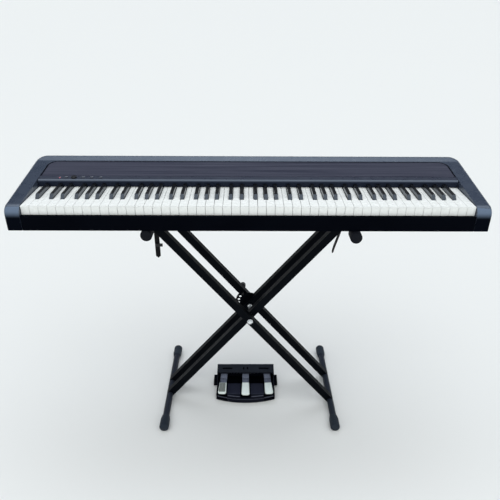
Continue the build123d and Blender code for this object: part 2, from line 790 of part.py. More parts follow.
def white_key(index):
    x0 = key_left(index) + KEY_GAP / 2
    x1 = key_left(index + 1) - KEY_GAP / 2
    tail0 = x0
    tail1 = x1
    left = sharp_centre(index - 1) if index > 0 else None
    right = sharp_centre(index)
    if left is not None:
        tail0 = left + SHARP_SLOT / 2
    if right is not None:
        tail1 = right - SHARP_SLOT / 2
    shoulder = SHARP_FRONT - SHARP_FRONT_GAP
    top = KEY_TOP
    key = block(x0, x1, KEY_FRONT, shoulder, KEY_BOTTOM, top) + block(
        tail0, tail1, KEY_FRONT, KEY_REAR, KEY_BOTTOM, top
    )
    key = fillet(key.faces().sort_by(Axis.Z)[-1].edges(), KEY_EDGE_R)
    key -= block(x0, x1, KEY_FRONT, KEY_FRONT + KEY_LIP, KEY_BOTTOM, top - KEY_LIP_T)
    wall = KEY_WALL
    hollow_top = top - wall
    hollow_front = KEY_FRONT + KEY_LIP + wall
    key -= block(x0 + wall, x1 - wall, hollow_front, shoulder - wall, KEY_BOTTOM, hollow_top)
    key -= block(tail0 + wall, tail1 - wall, hollow_front, KEY_REAR - wall, KEY_BOTTOM, hollow_top)
    return key - key_notch(x0, x1)


def black_key(centre):
    crest = KEY_TOP + SHARP_H
    low = KEY_TOP - TAIL_TOP_DROP
    rear = LIP_Y - SHARP_REAR_GAP
    face = side_face(
        [
            (SHARP_FRONT, KEY_BOTTOM),
            (SHARP_FRONT, KEY_TOP),
            (SHARP_FRONT + SHARP_BEVEL, crest),
            (rear, crest),
            (rear, low),
            (KEY_REAR, low),
            (KEY_REAR, KEY_BOTTOM),
        ]
    )
    x0 = centre - SHARP_W / 2
    x1 = centre + SHARP_W / 2
    key = along_x(face, x0, x1)
    long_edges = key.faces().sort_by(Axis.Z)[-1].edges()
    key = fillet(long_edges, SHARP_EDGE_R)
    wall = KEY_WALL
    key -= block(x0 + wall, x1 - wall, SHARP_FRONT + wall, KEY_REAR - wall, KEY_BOTTOM, low - wall)
    return key - key_notch(x0, x1)


def middle_octave(index):
    """True for the white keys of the octave that starts at middle C."""
    return MIDDLE_C <= index < MIDDLE_C + len(NOTE_NAMES)


# Stand


def leg(side, y):
    """Square tube through the pivot; side -1 leans to the left at its top, +1 to the right."""
    middle = STAND_X + side * (ARM_SPREAD - FOOT_SPREAD) / 2
    place = Pos(middle, y, FOOT_AXIS_Z + LEG_RISE / 2) * Rot(0, side * LEG_LEAN, 0)
    tube = Box(LEG_T, LEG_W, LEG_LENGTH) - Box(LEG_T - 2 * LEG_WALL, LEG_W - 2 * LEG_WALL, LEG_LENGTH)
    tube = place * tube
    for x, z in ((STAND_X + side * ARM_SPREAD, ARM_AXIS_Z), (STAND_X - side * FOOT_SPREAD, FOOT_AXIS_Z)):
        tube -= rod_y(x, z, BAR_R + WELD_GAP, y - LEG_W, y + LEG_W)
    return tube - rod_y(STAND_X, PIVOT_Z, BOLT_R + BOLT_CLEAR, y - LEG_W, y + LEG_W)


def lock_place():
    """Centre of the lock pin, on the outer legs above the pivot."""
    x, z = disc_point(DISC_HOLE_CIRCLE, 0)
    return STAND_X + x, PIVOT_Z + z


def outer_leg_rear():
    x, z = lock_place()
    return leg(-1, OUTER_LEG_Y) - rod_y(x, z, LOCK_PIN_R + LOCK_BORE_CLEAR, INNER_LEG_Y, OUTER_FACE)


def cross_bar(x, z, length):
    """Round tube along Y, shortened by the end walls of its caps."""
    half = length / 2 - CAP_END_T
    return rod_y(x, z, BAR_R, -half, half) - rod_y(x, z, BAR_R - BAR_WALL, -half, half)


def end_caps(x, z, length, radius):
    """Flared rubber caps on both ends of a cross bar."""
    profile = Polyline(
        (0, 0),
        (radius, 0),
        (radius, CAP_LENGTH - CAP_FLARE),
        (CAP_NECK_R, CAP_LENGTH),
        (0, CAP_LENGTH),
        close=True,
    )
    face = make_face(profile)
    rim = face.vertices().sort_by(Axis.Y)[:2].sort_by(Axis.X)[-1]
    cap = revolve(Plane.XZ * fillet(rim, CAP_EDGE_R), Axis.Z)
    bore = Pos(0, 0, CAP_END_T + CAP_LENGTH / 2) * Cylinder(BAR_R + CAP_CLEAR, CAP_LENGTH)
    cap -= bore
    front = Pos(x, -length / 2, z) * Rot(-90, 0, 0) * cap
    rear = Pos(x, length / 2, z) * Rot(90, 0, 0) * cap
    return [front, rear]


def foot_caps(x):
    """Caps of a foot bar, cut flat where they stand on the floor."""
    caps = end_caps(x, FOOT_AXIS_Z, FOOT_LENGTH, FOOT_CAP_R)
    ground = block(x - 2 * FOOT_CAP_R, x + 2 * FOOT_CAP_R, -FOOT_LENGTH, FOOT_LENGTH, -FOOT_CAP_R, 0)
    return [cap - ground for cap in caps]


def hex_along_y(y0, y1, radius, bore):
    """Hexagon nut or head on the pivot line, bored where bore is above zero."""
    solid = extrude(Plane.XZ.offset(-y1) * RegularPolygon(radius, 6), amount=y1 - y0)
    solid = Pos(STAND_X, 0, PIVOT_Z) * solid
    if bore > 0:
        solid -= rod_y(STAND_X, PIVOT_Z, bore, y0, y1)
    return solid


def pivot_bolt():
    seat = OUTER_FACE + WASHER_T
    end = seat + NUT_H + BOLT_R / 2
    head = hex_along_y(-seat - BOLT_HEAD_H, -seat, BOLT_HEAD_R, 0)
    return head + rod_y(STAND_X, PIVOT_Z, BOLT_R, -seat, end)


def ring_y(y0, y1, radius, bore):
    """Washer on the pivot line."""
    return rod_y(STAND_X, PIVOT_Z, radius, y0, y1) - rod_y(STAND_X, PIVOT_Z, bore, y0, y1)


def pivot_nuts_washers():
    seat = OUTER_FACE + WASHER_T
    bore = BOLT_R + BOLT_CLEAR
    gap_end = INNER_FACE + LEG_GAP - WASHER_CLEAR
    return [
        hex_along_y(seat, seat + NUT_H, NUT_R, bore),
        hex_along_y(HUB_NUT_Y, HUB_NUT_Y + NUT_H, NUT_R, bore),
        ring_y(-OUTER_FACE - WASHER_T, -OUTER_FACE, WASHER_R, bore),
        ring_y(OUTER_FACE, OUTER_FACE + WASHER_T, WASHER_R, bore),
        ring_y(-gap_end, -INNER_FACE, WASHER_R, bore),
        ring_y(INNER_FACE + DISC_T, gap_end, WASHER_R, bore),
    ]


def disc_point(radius, turn):
    """Point round the pivot, turned clockwise from the line of the outer legs."""
    lean = radians(turn - LEG_LEAN)
    return radius * sin(lean), radius * cos(lean)


def lock_disc():
    """Indexing plate on the rear inner leg: an open seat for the pin, and holes for lower heights."""
    y0 = INNER_FACE
    y1 = y0 + DISC_T
    seat = LOCK_PIN_R + LOCK_CLEAR
    far = 2 * DISC_R
    turns = (0, DISC_CUT_SPAN / 2, DISC_CUT_SPAN)
    wedge = make_face(Polyline((0, 0), *[disc_point(far, turn) for turn in turns], close=True))
    plan = Circle(DISC_R) - (wedge - Circle(DISC_HOLE_CIRCLE - seat - LOCK_CLEAR))
    for hole in range(DISC_HOLES + 1):
        x, z = disc_point(DISC_HOLE_CIRCLE, -hole * DISC_HOLE_STEP)
        plan -= Pos(x, z) * Circle(seat)
    plan -= Circle(BOLT_R + BOLT_CLEAR)
    plate = extrude(Plane.XZ.offset(-y1) * plan, amount=y1 - y0)
    return Pos(STAND_X, 0, PIVOT_Z) * plate


def lock_stations():
    """Depths of the collar, the spring's two ends, the housing's end and the knob."""
    collar = OUTER_FACE + LOCK_CLEAR
    spring = collar + LOCK_COLLAR_T
    end_wall = spring + LOCK_SPRING_CLOSED + LOCK_PULL
    housing = end_wall + LOCK_END_T
    return collar, spring, end_wall, housing, housing + LOCK_KNOB_GAP


def lock_pin():
    x, z = lock_place()
    collar, spring, _, _, knob = lock_stations()
    tip = INNER_FACE + LOCK_CLEAR
    pin = rod_y(x, z, LOCK_PIN_R, tip, knob + LOCK_KNOB_L / 2)
    grip = rod_y(x, z, LOCK_KNOB_R, knob, knob + LOCK_KNOB_L)
    grip = fillet(grip.edges().filter_by(GeomType.CIRCLE), LOCK_KNOB_EDGE_R)
    return pin + rod_y(x, z, LOCK_COLLAR_R, collar, spring) + grip


def lock_housing():
    x, z = lock_place()
    _, _, end_wall, housing, _ = lock_stations()
    sleeve = rod_y(x, z, LOCK_HOUSING_R, OUTER_FACE, housing)
    sleeve -= rod_y(x, z, LOCK_HOUSING_R - LOCK_HOUSING_WALL, OUTER_FACE, end_wall)
    return sleeve - rod_y(x, z, LOCK_PIN_R + LOCK_BORE_CLEAR, end_wall, housing)


def lock_spring():
    x, z = lock_place()
    _, spring, end_wall, _, _ = lock_stations()
    outer = LOCK_PIN_R + LOCK_CLEAR + LOCK_SPRING_WIRE
    coil = rod_y(x, z, outer, spring + LOCK_BORE_CLEAR, end_wall - LOCK_BORE_CLEAR)
    return coil - rod_y(x, z, LOCK_PIN_R + LOCK_CLEAR, spring, end_wall)


def strap_loop(x, y):
    """Band of webbing round a top arm."""
    inner = BAR_R + STRAP_CLEAR
    loop = rod_y(x, ARM_AXIS_Z, inner + STRAP_T, y - STRAP_LOOP_W / 2, y + STRAP_LOOP_W / 2)
    return loop - rod_y(x, ARM_AXIS_Z, inner, y - STRAP_LOOP_W / 2, y + STRAP_LOOP_W / 2)


def strap_left():
    x = STAND_X - ARM_SPREAD
    top = ARM_AXIS_Z - BAR_R - STRAP_CLEAR - STRAP_T / 2
    half = STRAP_LEFT_W / 2
    tail = block(x - half, x + half, STRAP_LEFT_Y, STRAP_LEFT_Y + STRAP_T, top - STRAP_LEFT_L, top)
    ends = tail.edges().filter_by(Axis.Y).sort_by(Axis.Z)[:2]
    tail = chamfer(ends, STRAP_LEFT_W / 4)
    buckle = block(
        x - half + BUCKLE_INSET,
        x - half + BUCKLE_W,
        STRAP_LEFT_Y - BUCKLE_T,
        STRAP_LEFT_Y,
        top - BUCKLE_DROP,
        top - BUCKLE_DROP + BUCKLE_H,
    )
    return [strap_loop(x, STRAP_LEFT_Y) + tail, buckle]


def strap_right():
    x = STAND_X + ARM_SPREAD
    inner = BAR_R + STRAP_CLEAR
    place = Pos(x, STRAP_RIGHT_Y, ARM_AXIS_Z) * Rot(0, STRAP_RIGHT_TILT, 0)
    tail = place * Pos(0, 0, -inner - STRAP_RIGHT_L / 2) * Box(STRAP_T, STRAP_LOOP_W, STRAP_RIGHT_L)
    return strap_loop(x, STRAP_RIGHT_Y) + tail


# Pedal unit


def base_plan(inset):
    """Plan of the pedal unit with its bowed front."""
    half = PEDAL_W / 2 - inset
    front = PEDAL_FRONT_Y + inset
    corner = PEDAL_FRONT_Y + PEDAL_BOW + inset
    rear = PEDAL_REAR_Y - inset
    outline = Polyline((half, corner), (half, rear), (-half, rear), (-half, corner)) + ThreePointArc(
        (-half, corner), (0, front), (half, corner)
    )
    return Pos(PEDAL_X, 0) * make_face(outline)


def pedal_base():
    z0 = PEDAL_FOOT_H
    floor_top = z0 + BASE_T
    lip_top = z0 + BASE_LIP_H
    base = between(base_plan(0), z0, lip_top)
    well = between(base_plan(BASE_WALL), floor_top, lip_top)
    lip_rear = PEDAL_FRONT_Y + PEDAL_BOW + BASE_LIP_D / 2
    well -= block(PEDAL_X - PEDAL_W, PEDAL_X + PEDAL_W, PEDAL_FRONT_Y, lip_rear, z0, lip_top)
    base -= well
    for x in LEVER_X:
        base -= block(
            x - CHANNEL_W / 2,
            x + CHANNEL_W / 2,
            PEDAL_FRONT_Y + BASE_WALL,
            lip_rear + BASE_WALL,
            floor_top,
            lip_top,
        )
    island = side_face(
        [
            (lip_rear + BASE_WALL, floor_top),
            (lip_rear + BASE_WALL, floor_top + ISLAND_H - BASE_WALL / 2),
            (lip_rear + 2 * BASE_WALL, floor_top + ISLAND_H),
            (lip_rear + ISLAND_D, floor_top + ISLAND_REAR_H),
            (lip_rear + ISLAND_D, floor_top),
        ]
    )
    for middle in (PEDAL_X - PEDAL_PITCH / 2, PEDAL_X + PEDAL_PITCH / 2):
        half = (PEDAL_PITCH - CHANNEL_W) / 2
        base += along_x(island, middle - half, middle + half)
    for side in (-1, 1):
        edge = PEDAL_X + side * PEDAL_W / 2
        x0, x1 = sorted((edge - side * BASE_WALL / 2, edge + side * TAB_W))
        base += block(x0, x1, PEDAL_REAR_Y - TAB_D, PEDAL_REAR_Y, z0, z0 + TAB_T)
    return base


def pedal_feet():
    feet = []
    for side in (-1, 1):
        x = PEDAL_X + side * (PEDAL_W / 2 - PEDAL_FOOT_INSET)
        for y in (PEDAL_FRONT_Y + PEDAL_BOW + PEDAL_FOOT_INSET, PEDAL_REAR_Y - PEDAL_FOOT_INSET):
            feet.append(rod_z(x, y, PEDAL_FOOT_R, 0, PEDAL_FOOT_H))
    return feet


def pedal_hood():
    """Cover over the levers' rear ends, on two cheeks that hold the axle."""
    bottom = PEDAL_FOOT_H + BASE_LIP_H
    half = PEDAL_W / 2
    front_low = HOOD_FRONT_H - HOOD_T
    roof = side_face(
        [
            (PEDAL_REAR_Y, bottom),
            (PEDAL_REAR_Y, HOOD_REAR_H),
            (HOOD_FRONT_Y, HOOD_FRONT_H),
            (HOOD_FRONT_Y, front_low),
            (PEDAL_REAR_Y - HOOD_T, HOOD_REAR_H - HOOD_T),
            (PEDAL_REAR_Y - HOOD_T, bottom),
        ]
    )
    cheek = side_face(
        [
            (PEDAL_REAR_Y, bottom),
            (PEDAL_REAR_Y, HOOD_REAR_H),
            (HOOD_FRONT_Y, HOOD_FRONT_H),
            (HOOD_SIDE_FRONT_Y, bottom),
        ]
    )
    hood = along_x(roof, PEDAL_X - half, PEDAL_X + half)
    for x0 in (PEDAL_X - half, PEDAL_X + half - HOOD_T):
        hood += along_x(cheek, x0, x0 + HOOD_T)
    middle = (HOOD_FRONT_Y + PEDAL_REAR_Y) / 2
    slots = [(side * HOOD_SLOT_X, HOOD_SLOT_W, HOOD_SLOT_D) for side in (-1, 1)]
    slots += [(side * HOOD_PAIR_X, HOOD_PAIR_W, HOOD_PAIR_D) for side in (-1, 1)]
    for x, width, depth in slots:
        hood -= block(
            PEDAL_X + x - width / 2,
            PEDAL_X + x + width / 2,
            middle - depth / 2,
            middle + depth / 2,
            front_low,
            HOOD_REAR_H,
        )
    return hood - rod_x(AXLE_Y, AXLE_H, AXLE_R + AXLE_CLEAR, PEDAL_X - half, PEDAL_X + half)


def pedal_axle():
    half = PEDAL_W / 2 - HOOD_T / 4
    return rod_x(AXLE_Y, AXLE_H, AXLE_R, PEDAL_X - half, PEDAL_X + half)


def lever_middle(x, y):
    """Middle line of a lever whose tip is at x: the side levers close in toward the axle."""
    lean = LEVER_SPLAY * (PEDAL_X - x) / PEDAL_PITCH
    return x + lean * (y - LEVER_TIP_Y) / (AXLE_Y - LEVER_TIP_Y)


def lever(x):
    """Pedal lever: a hub on the axle, a bend outside the hood and a wider rounded tip."""
    hub_top = AXLE_H + LEVER_HUB_R
    hub_x = lever_middle(x, AXLE_Y)
    bend_x = lever_middle(x, LEVER_BEND_Y)
    reach = LEVER_TIP_W / 2 + LEVER_SPLAY
    tip = LEVER_TIP_Y if x == PEDAL_X else LEVER_TIP_Y + SIDE_LEVER_SETBACK
    face = side_face(
        [
            (AXLE_Y, AXLE_H),
            (AXLE_Y, hub_top),
            (LEVER_BEND_Y, LEVER_BEND_H),
            (tip, LEVER_TIP_H),
            (tip, LEVER_TIP_H - LEVER_T),
            (LEVER_BEND_Y, LEVER_BEND_H - LEVER_T),
            (AXLE_Y - LEVER_HUB_R, AXLE_H),
        ]
    )
    bar = along_x(face, x - reach, x + reach)
    plan = make_face(
        Polyline(
            (hub_x - LEVER_W / 2, AXLE_Y),
            (bend_x - LEVER_W / 2, LEVER_BEND_Y),
            (x - LEVER_TIP_W / 2, tip),
            (x + LEVER_TIP_W / 2, tip),
            (bend_x + LEVER_W / 2, LEVER_BEND_Y),
            (hub_x + LEVER_W / 2, AXLE_Y),
            close=True,
        )
    )
    plan = fillet(plan.vertices().sort_by(Axis.Y)[:2], LEVER_CORNER_R)
    bar = bar & between(plan, 0, HOOD_REAR_H)
    bar += rod_x(AXLE_Y, AXLE_H, LEVER_HUB_R, hub_x - LEVER_W / 2, hub_x + LEVER_W / 2)
    return bar - rod_x(AXLE_Y, AXLE_H, AXLE_R + AXLE_CLEAR, x - reach, x + reach)


def lever_under(y):
    """Underside of a lever behind its bend."""
    y0, z0 = LEVER_BEND_Y, LEVER_BEND_H - LEVER_T
    y1, z1 = AXLE_Y - LEVER_HUB_R, AXLE_H
    return z0 + (z1 - z0) * (y - y0) / (y1 - y0)


def pedal_springs():
    springs = []
    floor_top = PEDAL_FOOT_H + BASE_T
    top = lever_under(RETURN_SPRING_Y) - RETURN_SPRING_GAP
    for tip_x in LEVER_X:
        x = lever_middle(tip_x, RETURN_SPRING_Y)
        coil = rod_z(x, RETURN_SPRING_Y, RETURN_SPRING_R, floor_top, top)
        springs.append(coil - rod_z(x, RETURN_SPRING_Y, RETURN_SPRING_R - RETURN_SPRING_WALL, floor_top, top))
    return springs


# Every piece by its node name


def key_pieces():
    """The middle octave key by key, and the other keys as two groups."""
    pieces = {}
    whites = []
    blacks = []
    for index in range(WHITE_KEYS):
        letter = note(index).lower()
        if middle_octave(index):
            pieces["white_key_" + letter] = white_key(index)
        else:
            whites.append(white_key(index))
        centre = sharp_centre(index)
        if centre is None:
            continue
        if middle_octave(index):
            pieces["black_key_" + letter + "_sharp"] = black_key(centre)
        else:
            blacks.append(black_key(centre))
    pieces["white_keys"] = whites
    pieces["black_keys"] = blacks
    return pieces


def piano_pieces():
    pieces = {
        "upper_case": upper_case(),
        "lower_case": lower_case(),
        "front_rail": front_rail(),
        "top_panel": top_panel(),
        "control_strip": control_strip(),
        "control_board": control_board(),
        "power_led": power_led(),
        "power_button": push_button(POWER_X),
        "volume_knob": volume_knob(),
        "key_frame": key_frame(),
        "key_pivot_rail": key_pivot_rail(),
        "key_stop_felt": key_stop_felt(),
        "contact_board": contact_board(),
        "main_board": main_board(),
        "speakers": speakers(),
        "case_feet": case_feet(),
        "case_screws": case_screws(),
    }
    for number, x in enumerate(FUNCTION_X, start=1):
        pieces["function_button_" + str(number)] = push_button(x)
    return pieces


def stand_pieces():
    left_arm = STAND_X - ARM_SPREAD
    right_arm = STAND_X + ARM_SPREAD
    left_foot = STAND_X - FOOT_SPREAD
    right_foot = STAND_X + FOOT_SPREAD
    place = Pos(0, STAND_Y, 0)
    right_place = Pos(0, STAND_Y + RIGHT_ARM_SHIFT, 0)
    left_caps = [place * cap for cap in end_caps(left_arm, ARM_AXIS_Z, ARM_LENGTH, ARM_CAP_R)]
    right_caps = [right_place * cap for cap in end_caps(right_arm, ARM_AXIS_Z, ARM_LENGTH, ARM_CAP_R)]
    return {
        "inner_leg_front": place * leg(1, -INNER_LEG_Y),
        "inner_leg_rear": place * leg(1, INNER_LEG_Y),
        "inner_top_arm": right_place * cross_bar(right_arm, ARM_AXIS_Z, ARM_LENGTH),
        "inner_foot_bar": cross_bar(left_foot, FOOT_AXIS_Z, FOOT_LENGTH),
        "inner_end_caps": right_caps + foot_caps(left_foot),
        "outer_leg_front": place * leg(-1, -OUTER_LEG_Y),
        "outer_leg_rear": place * outer_leg_rear(),
        "outer_top_arm": place * cross_bar(left_arm, ARM_AXIS_Z, ARM_LENGTH),
        "outer_foot_bar": cross_bar(right_foot, FOOT_AXIS_Z, FOOT_LENGTH),
        "outer_end_caps": left_caps + foot_caps(right_foot),
        "pivot_bolt": place * pivot_bolt(),
        "pivot_nuts_washers": [place * piece for piece in pivot_nuts_washers()],
        "lock_disc": place * lock_disc(),
        "lock_pin": place * lock_pin(),
        "lock_housing": place * lock_housing(),
        "lock_spring": place * lock_spring(),
        "strap_left": strap_left(),
        "strap_right": strap_right(),
    }


def pedal_pieces():
    pieces = {
        "pedal_base": pedal_base(),
        "pedal_hood": pedal_hood(),
        "pedal_axle": pedal_axle(),
        "pedal_feet": pedal_feet(),
        "pedal_springs": pedal_springs(),
    }
    for name, x in zip(("pedal_left", "pedal_middle", "pedal_right"), LEVER_X):
        pieces[name] = lever(x)
    return pieces


def write_piece(name, piece):
    """One STEP file for a node, with each of its solids separate."""
    solids = piece if isinstance(piece, list) else [piece]
    solids = [solid for item in solids for solid in item.solids()]
    shape = solids[0] if len(solids) == 1 else Compound(children=solids)
    shape.label = name
    export_step(shape, os.path.join("parts", name + ".step"))


def main():
    os.makedirs("parts", exist_ok=True)
    pieces = {**piano_pieces(), **key_pieces(), **stand_pieces(), **pedal_pieces()}
    for name, piece in pieces.items():
        write_piece(name, piece)
    print(len(pieces), "nodes")


main()
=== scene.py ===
import json
import math

import bpy
from mathutils import Matrix, Vector


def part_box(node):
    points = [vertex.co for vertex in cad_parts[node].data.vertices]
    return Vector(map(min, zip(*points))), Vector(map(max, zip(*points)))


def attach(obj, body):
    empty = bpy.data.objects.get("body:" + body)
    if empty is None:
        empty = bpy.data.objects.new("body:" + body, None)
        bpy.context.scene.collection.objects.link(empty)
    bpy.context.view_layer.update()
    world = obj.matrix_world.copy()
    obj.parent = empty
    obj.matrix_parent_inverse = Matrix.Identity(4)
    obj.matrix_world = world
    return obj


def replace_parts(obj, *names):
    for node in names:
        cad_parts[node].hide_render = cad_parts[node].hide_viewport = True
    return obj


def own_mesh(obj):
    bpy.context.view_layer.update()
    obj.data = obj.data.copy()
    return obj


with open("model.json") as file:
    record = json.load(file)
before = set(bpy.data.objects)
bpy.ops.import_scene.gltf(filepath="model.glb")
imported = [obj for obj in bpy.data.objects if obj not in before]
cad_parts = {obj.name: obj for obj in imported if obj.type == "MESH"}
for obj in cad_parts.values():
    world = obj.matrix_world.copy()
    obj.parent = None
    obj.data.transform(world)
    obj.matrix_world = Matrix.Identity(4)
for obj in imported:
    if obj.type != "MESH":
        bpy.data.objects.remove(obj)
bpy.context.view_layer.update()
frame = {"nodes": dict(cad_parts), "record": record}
NODES = frame["nodes"]

# Camera, fitted to the photograph's 500 x 500 frame
CAMERA_PLACE = (-0.009, -1.4236, 1.313)
CAMERA_LENS = 36.94
CAMERA_PITCH = 27.71
CAMERA_YAW = 0.56
CAMERA_ROLL = 0.38
CAMERA_REACH = 200.0
SENSOR = 36.0

# Studio: tones of the sky, and where one passes to the next along a direction's Y or Z
FLOOR_RADIUS = 60.0
FLOOR_SIDES = 96
FLOOR_TONE = (0.80, 0.80, 0.79)
CEILING_TONE = (2.62, 2.76, 2.88)
CEILING_EDGE = (0.70, 0.88)
CEILING_TURN = (0.0, 0.35)
OVERHEAD_TONE = (1.56, 1.61, 1.64)
HORIZON_TONE = (0.86, 0.90, 0.90)
HORIZON_EDGE = (0.23, 0.33)
WALL_TURN = (-0.5, 0.5)
FRONT_TONE = (1.06, 1.11, 1.10)
BACK_TONE = (0.06, 0.075, 0.11)

# Modelling
FACING = 0.5
SAME_PLACE = 0.001
MERGE_GAP = 0.00001
SEED_SIZE = 0.001
SMOOTH_ANGLE = math.radians(35)
TURN_STEPS = 40

# Deck of the case, which the controls and legends sit square to
DECK_TILT = math.radians(8.3)
LEGEND_Y = 0.0065
LEGEND_SIZE = (0.007, 0.0011, 0.0003)
LEGEND_DOT = 0.0024
CONTROLS = (
    "power_led",
    "power_button",
    "volume_knob",
    "function_button_1",
    "function_button_2",
    "function_button_3",
)
PANEL_SHADE_W = 0.004
PANEL_SHADE_LIP = 0.75 * PANEL_SHADE_W
PANEL_CORNER_R = 0.028
PANEL_CORNER_STEPS = 10
RAIL_SHADE_STRIP_W = 0.005
RAIL_SHADE_STRIP_T = 0.003
RAIL_SHADE_STRIP_BACK = 0.004

# Lean of the normals of faces that get a second finish, and where the painted highlight and painted shade of
# the nose and lip start and end
FRONT_TURN = -0.94
EDGE_TURN = -0.3
CROWN_TURN = 0.8
TOP_TURN = 0.85
NOSE_TURN = 0.6
NOSE_FADE = (0.7468, 0.767)
NOSE_BACK = (-0.150, -0.158)
LIP_FADE = (0.7952, 0.7985)

# Stand
BAR_R = 0.011
ARM_CAP_R = 0.0165
FOOT_CAP_R = 0.0155
CAP_END_T = 0.004
CAP_LENGTH = 0.050
CAP_FLARE = 0.014
CAP_NECK_R = 0.013
CAP_EDGE = 0.004
CAP_CORNER = 0.3 * CAP_EDGE
CAP_GROOVE = 0.0009
CAP_GROOVES_AT = (0.3, 0.55)
BOLT_HEAD_R = 0.0068
BOLT_DOME = 0.0048
DOME_STEPS = 6
HUB_NUT_FRONT = 0.003
HUB_NUT_R = 0.0076
HUB_NUT_DOME = 0.5 * BOLT_DOME
STRAP_T = 0.0016
STRAP_CLEAR = 0.0003
STRAP_SMOOTHING = 2
STRAP_LOOP_W = 0.020
STRAP_LEFT_W = 0.015
STRAP_LEFT_POINT = 0.012
STRAP_LEFT_TAPER = 0.35
STRAP_LEFT_SWAY = ((0.0, 0.0), (0.15, 0.0012), (0.4, -0.0006), (0.7, 0.0010), (0.92, 0.0002), (1.0, 0.0))
STRAP_RIGHT_TILT = math.radians(13.0)
STRAP_RIGHT_BOW = ((0.09, 0.0), (0.2, 0.0018), (0.35, 0.0022), (0.6, 0.0008), (0.85, -0.0006), (1.0, 0.0))
BUCKLE_SIZE = (0.023, 0.005, 0.009)
BUCKLE_DROP = 0.0926
BUCKLE_FRAME = 0.0022
BUCKLE_HOLLOW = 0.002
BUCKLE_EDGE_R = 0.0006
BUCKLE_SUNK = 0.001
SPRING_WIRE = 0.0012
SPRING_WIRE_SIDES = 10
SPRING_TURN_STEPS = 28
LOCK_SPRING_R = 0.0049
LOCK_SPRING_TURNS = 3

# Pedals
PEDAL_HALF = 0.1031
PEDAL_FLOOR = 0.0085
PEDAL_BOW = 0.018
LIP_TOP = 0.0225
LIP_LINE = (0.020, 0.063, 0.0065, 0.0233)
SKIRT_LINE = (0.0, 0.098, -0.0004, 0.0185)
TRIM_W = 0.0042
TRIM_T = 0.0012
TRIM_STEPS = 8
LEVER_W = 0.024
LEVER_TIP_W = 0.0284
LEVER_T = 0.007
LEVER_BEND = (-0.014, 0.042)
LEVER_TIP_H = 0.037
LEVER_CORNER_R = 0.007
LEVER_EDGE_R = 0.0016
LEVER_SPLAY = 0.007
LEVER_REAR = (0.030, 0.0465)
LEVER_GROOVE = (-0.0016, 0.0012)
PAD_START = -0.0205
PAD_RISE = 0.0008
PAD_TAPER = 0.85
PAD_CORNER_STEPS = 8
PAD_EDGE_STEPS = 4
PAD_SIDE_RIM = 0.003
PAD_FRONT_RIM = 0.0055
PATCH_T = 0.0004
PATCH_CORNER_STEPS = 6
RETURN_SPRING_R = 0.0054
RETURN_SPRING_Y = 0.008
RETURN_SPRING_FOOT = 0.008
RETURN_SPRING_TOP = 0.0362
RETURN_SPRING_LEAN = 0.73
RETURN_SPRING_TURNS = 9

# Rear sockets
SOCKET_RING = 0.0016
SOCKET_RING_DEPTH = 0.002
SOCKET_RING_CHAMFER = 0.0006
SOCKET_RING_PROUD = 0.0008


def make_camera():
    data = bpy.data.cameras.new("camera")
    data.lens = CAMERA_LENS
    data.sensor_width = SENSOR
    data.clip_end = CAMERA_REACH
    camera = bpy.data.objects.new("camera", data)
    bpy.context.scene.collection.objects.link(camera)
    yaw = math.radians(CAMERA_YAW)
    pitch = math.radians(CAMERA_PITCH)
    roll = math.radians(CAMERA_ROLL)
    ahead = Vector((math.sin(yaw) * math.cos(pitch), math.cos(yaw) * math.cos(pitch), -math.sin(pitch)))
    right = ahead.cross(Vector((0, 0, 1))).normalized()
    up = right.cross(ahead)
    turned_right = right * math.cos(roll) + up * math.sin(roll)
    turned_up = up * math.cos(roll) - right * math.sin(roll)
    turn = Matrix((turned_right, turned_up, -ahead)).transposed()
    camera.matrix_world = Matrix.Translation(CAMERA_PLACE) @ turn.to_4x4()
    bpy.context.scene.camera = camera


# Finishes

# Blue tint of the gloss: a painted sky colour in the reflections
PAINTED_SKY_TINT = (0.70, 0.82, 1.0)
PLAIN_GLOSS = (1.0, 1.0, 1.0)
BRUSHED = (300.0, 8.0, 300.0)

# Places of a Mix node's colour sockets, whose names its number sockets have too
MIX_FIRST = 6
MIX_SECOND = 7
MIX_RESULT = 2


def ranged(tree, value, span, reach=(0.0, 1.0), eased=True):
    """A value brought from a span to a reach, eased at both ends if asked."""
    node = tree.nodes.new("ShaderNodeMapRange")
    node.interpolation_type = "SMOOTHSTEP" if eased else "LINEAR"
    node.inputs["From Min"].default_value, node.inputs["From Max"].default_value = span
    node.inputs["To Min"].default_value, node.inputs["To Max"].default_value = reach
    tree.links.new(value, node.inputs["Value"])
    return node.outputs["Result"]


def mixed(tree, value, first, second):
    """A colour between two others; each is a tone or a socket."""
    node = tree.nodes.new("ShaderNodeMix")
    node.data_type = "RGBA"
    tree.links.new(value, node.inputs["Factor"])
    for place, tone in ((MIX_FIRST, first), (MIX_SECOND, second)):
        if isinstance(tone, tuple):
            node.inputs[place].default_value = (*tone, 1.0)
        else:
            tree.links.new(tone, node.inputs[place])
    return node.outputs[MIX_RESULT]


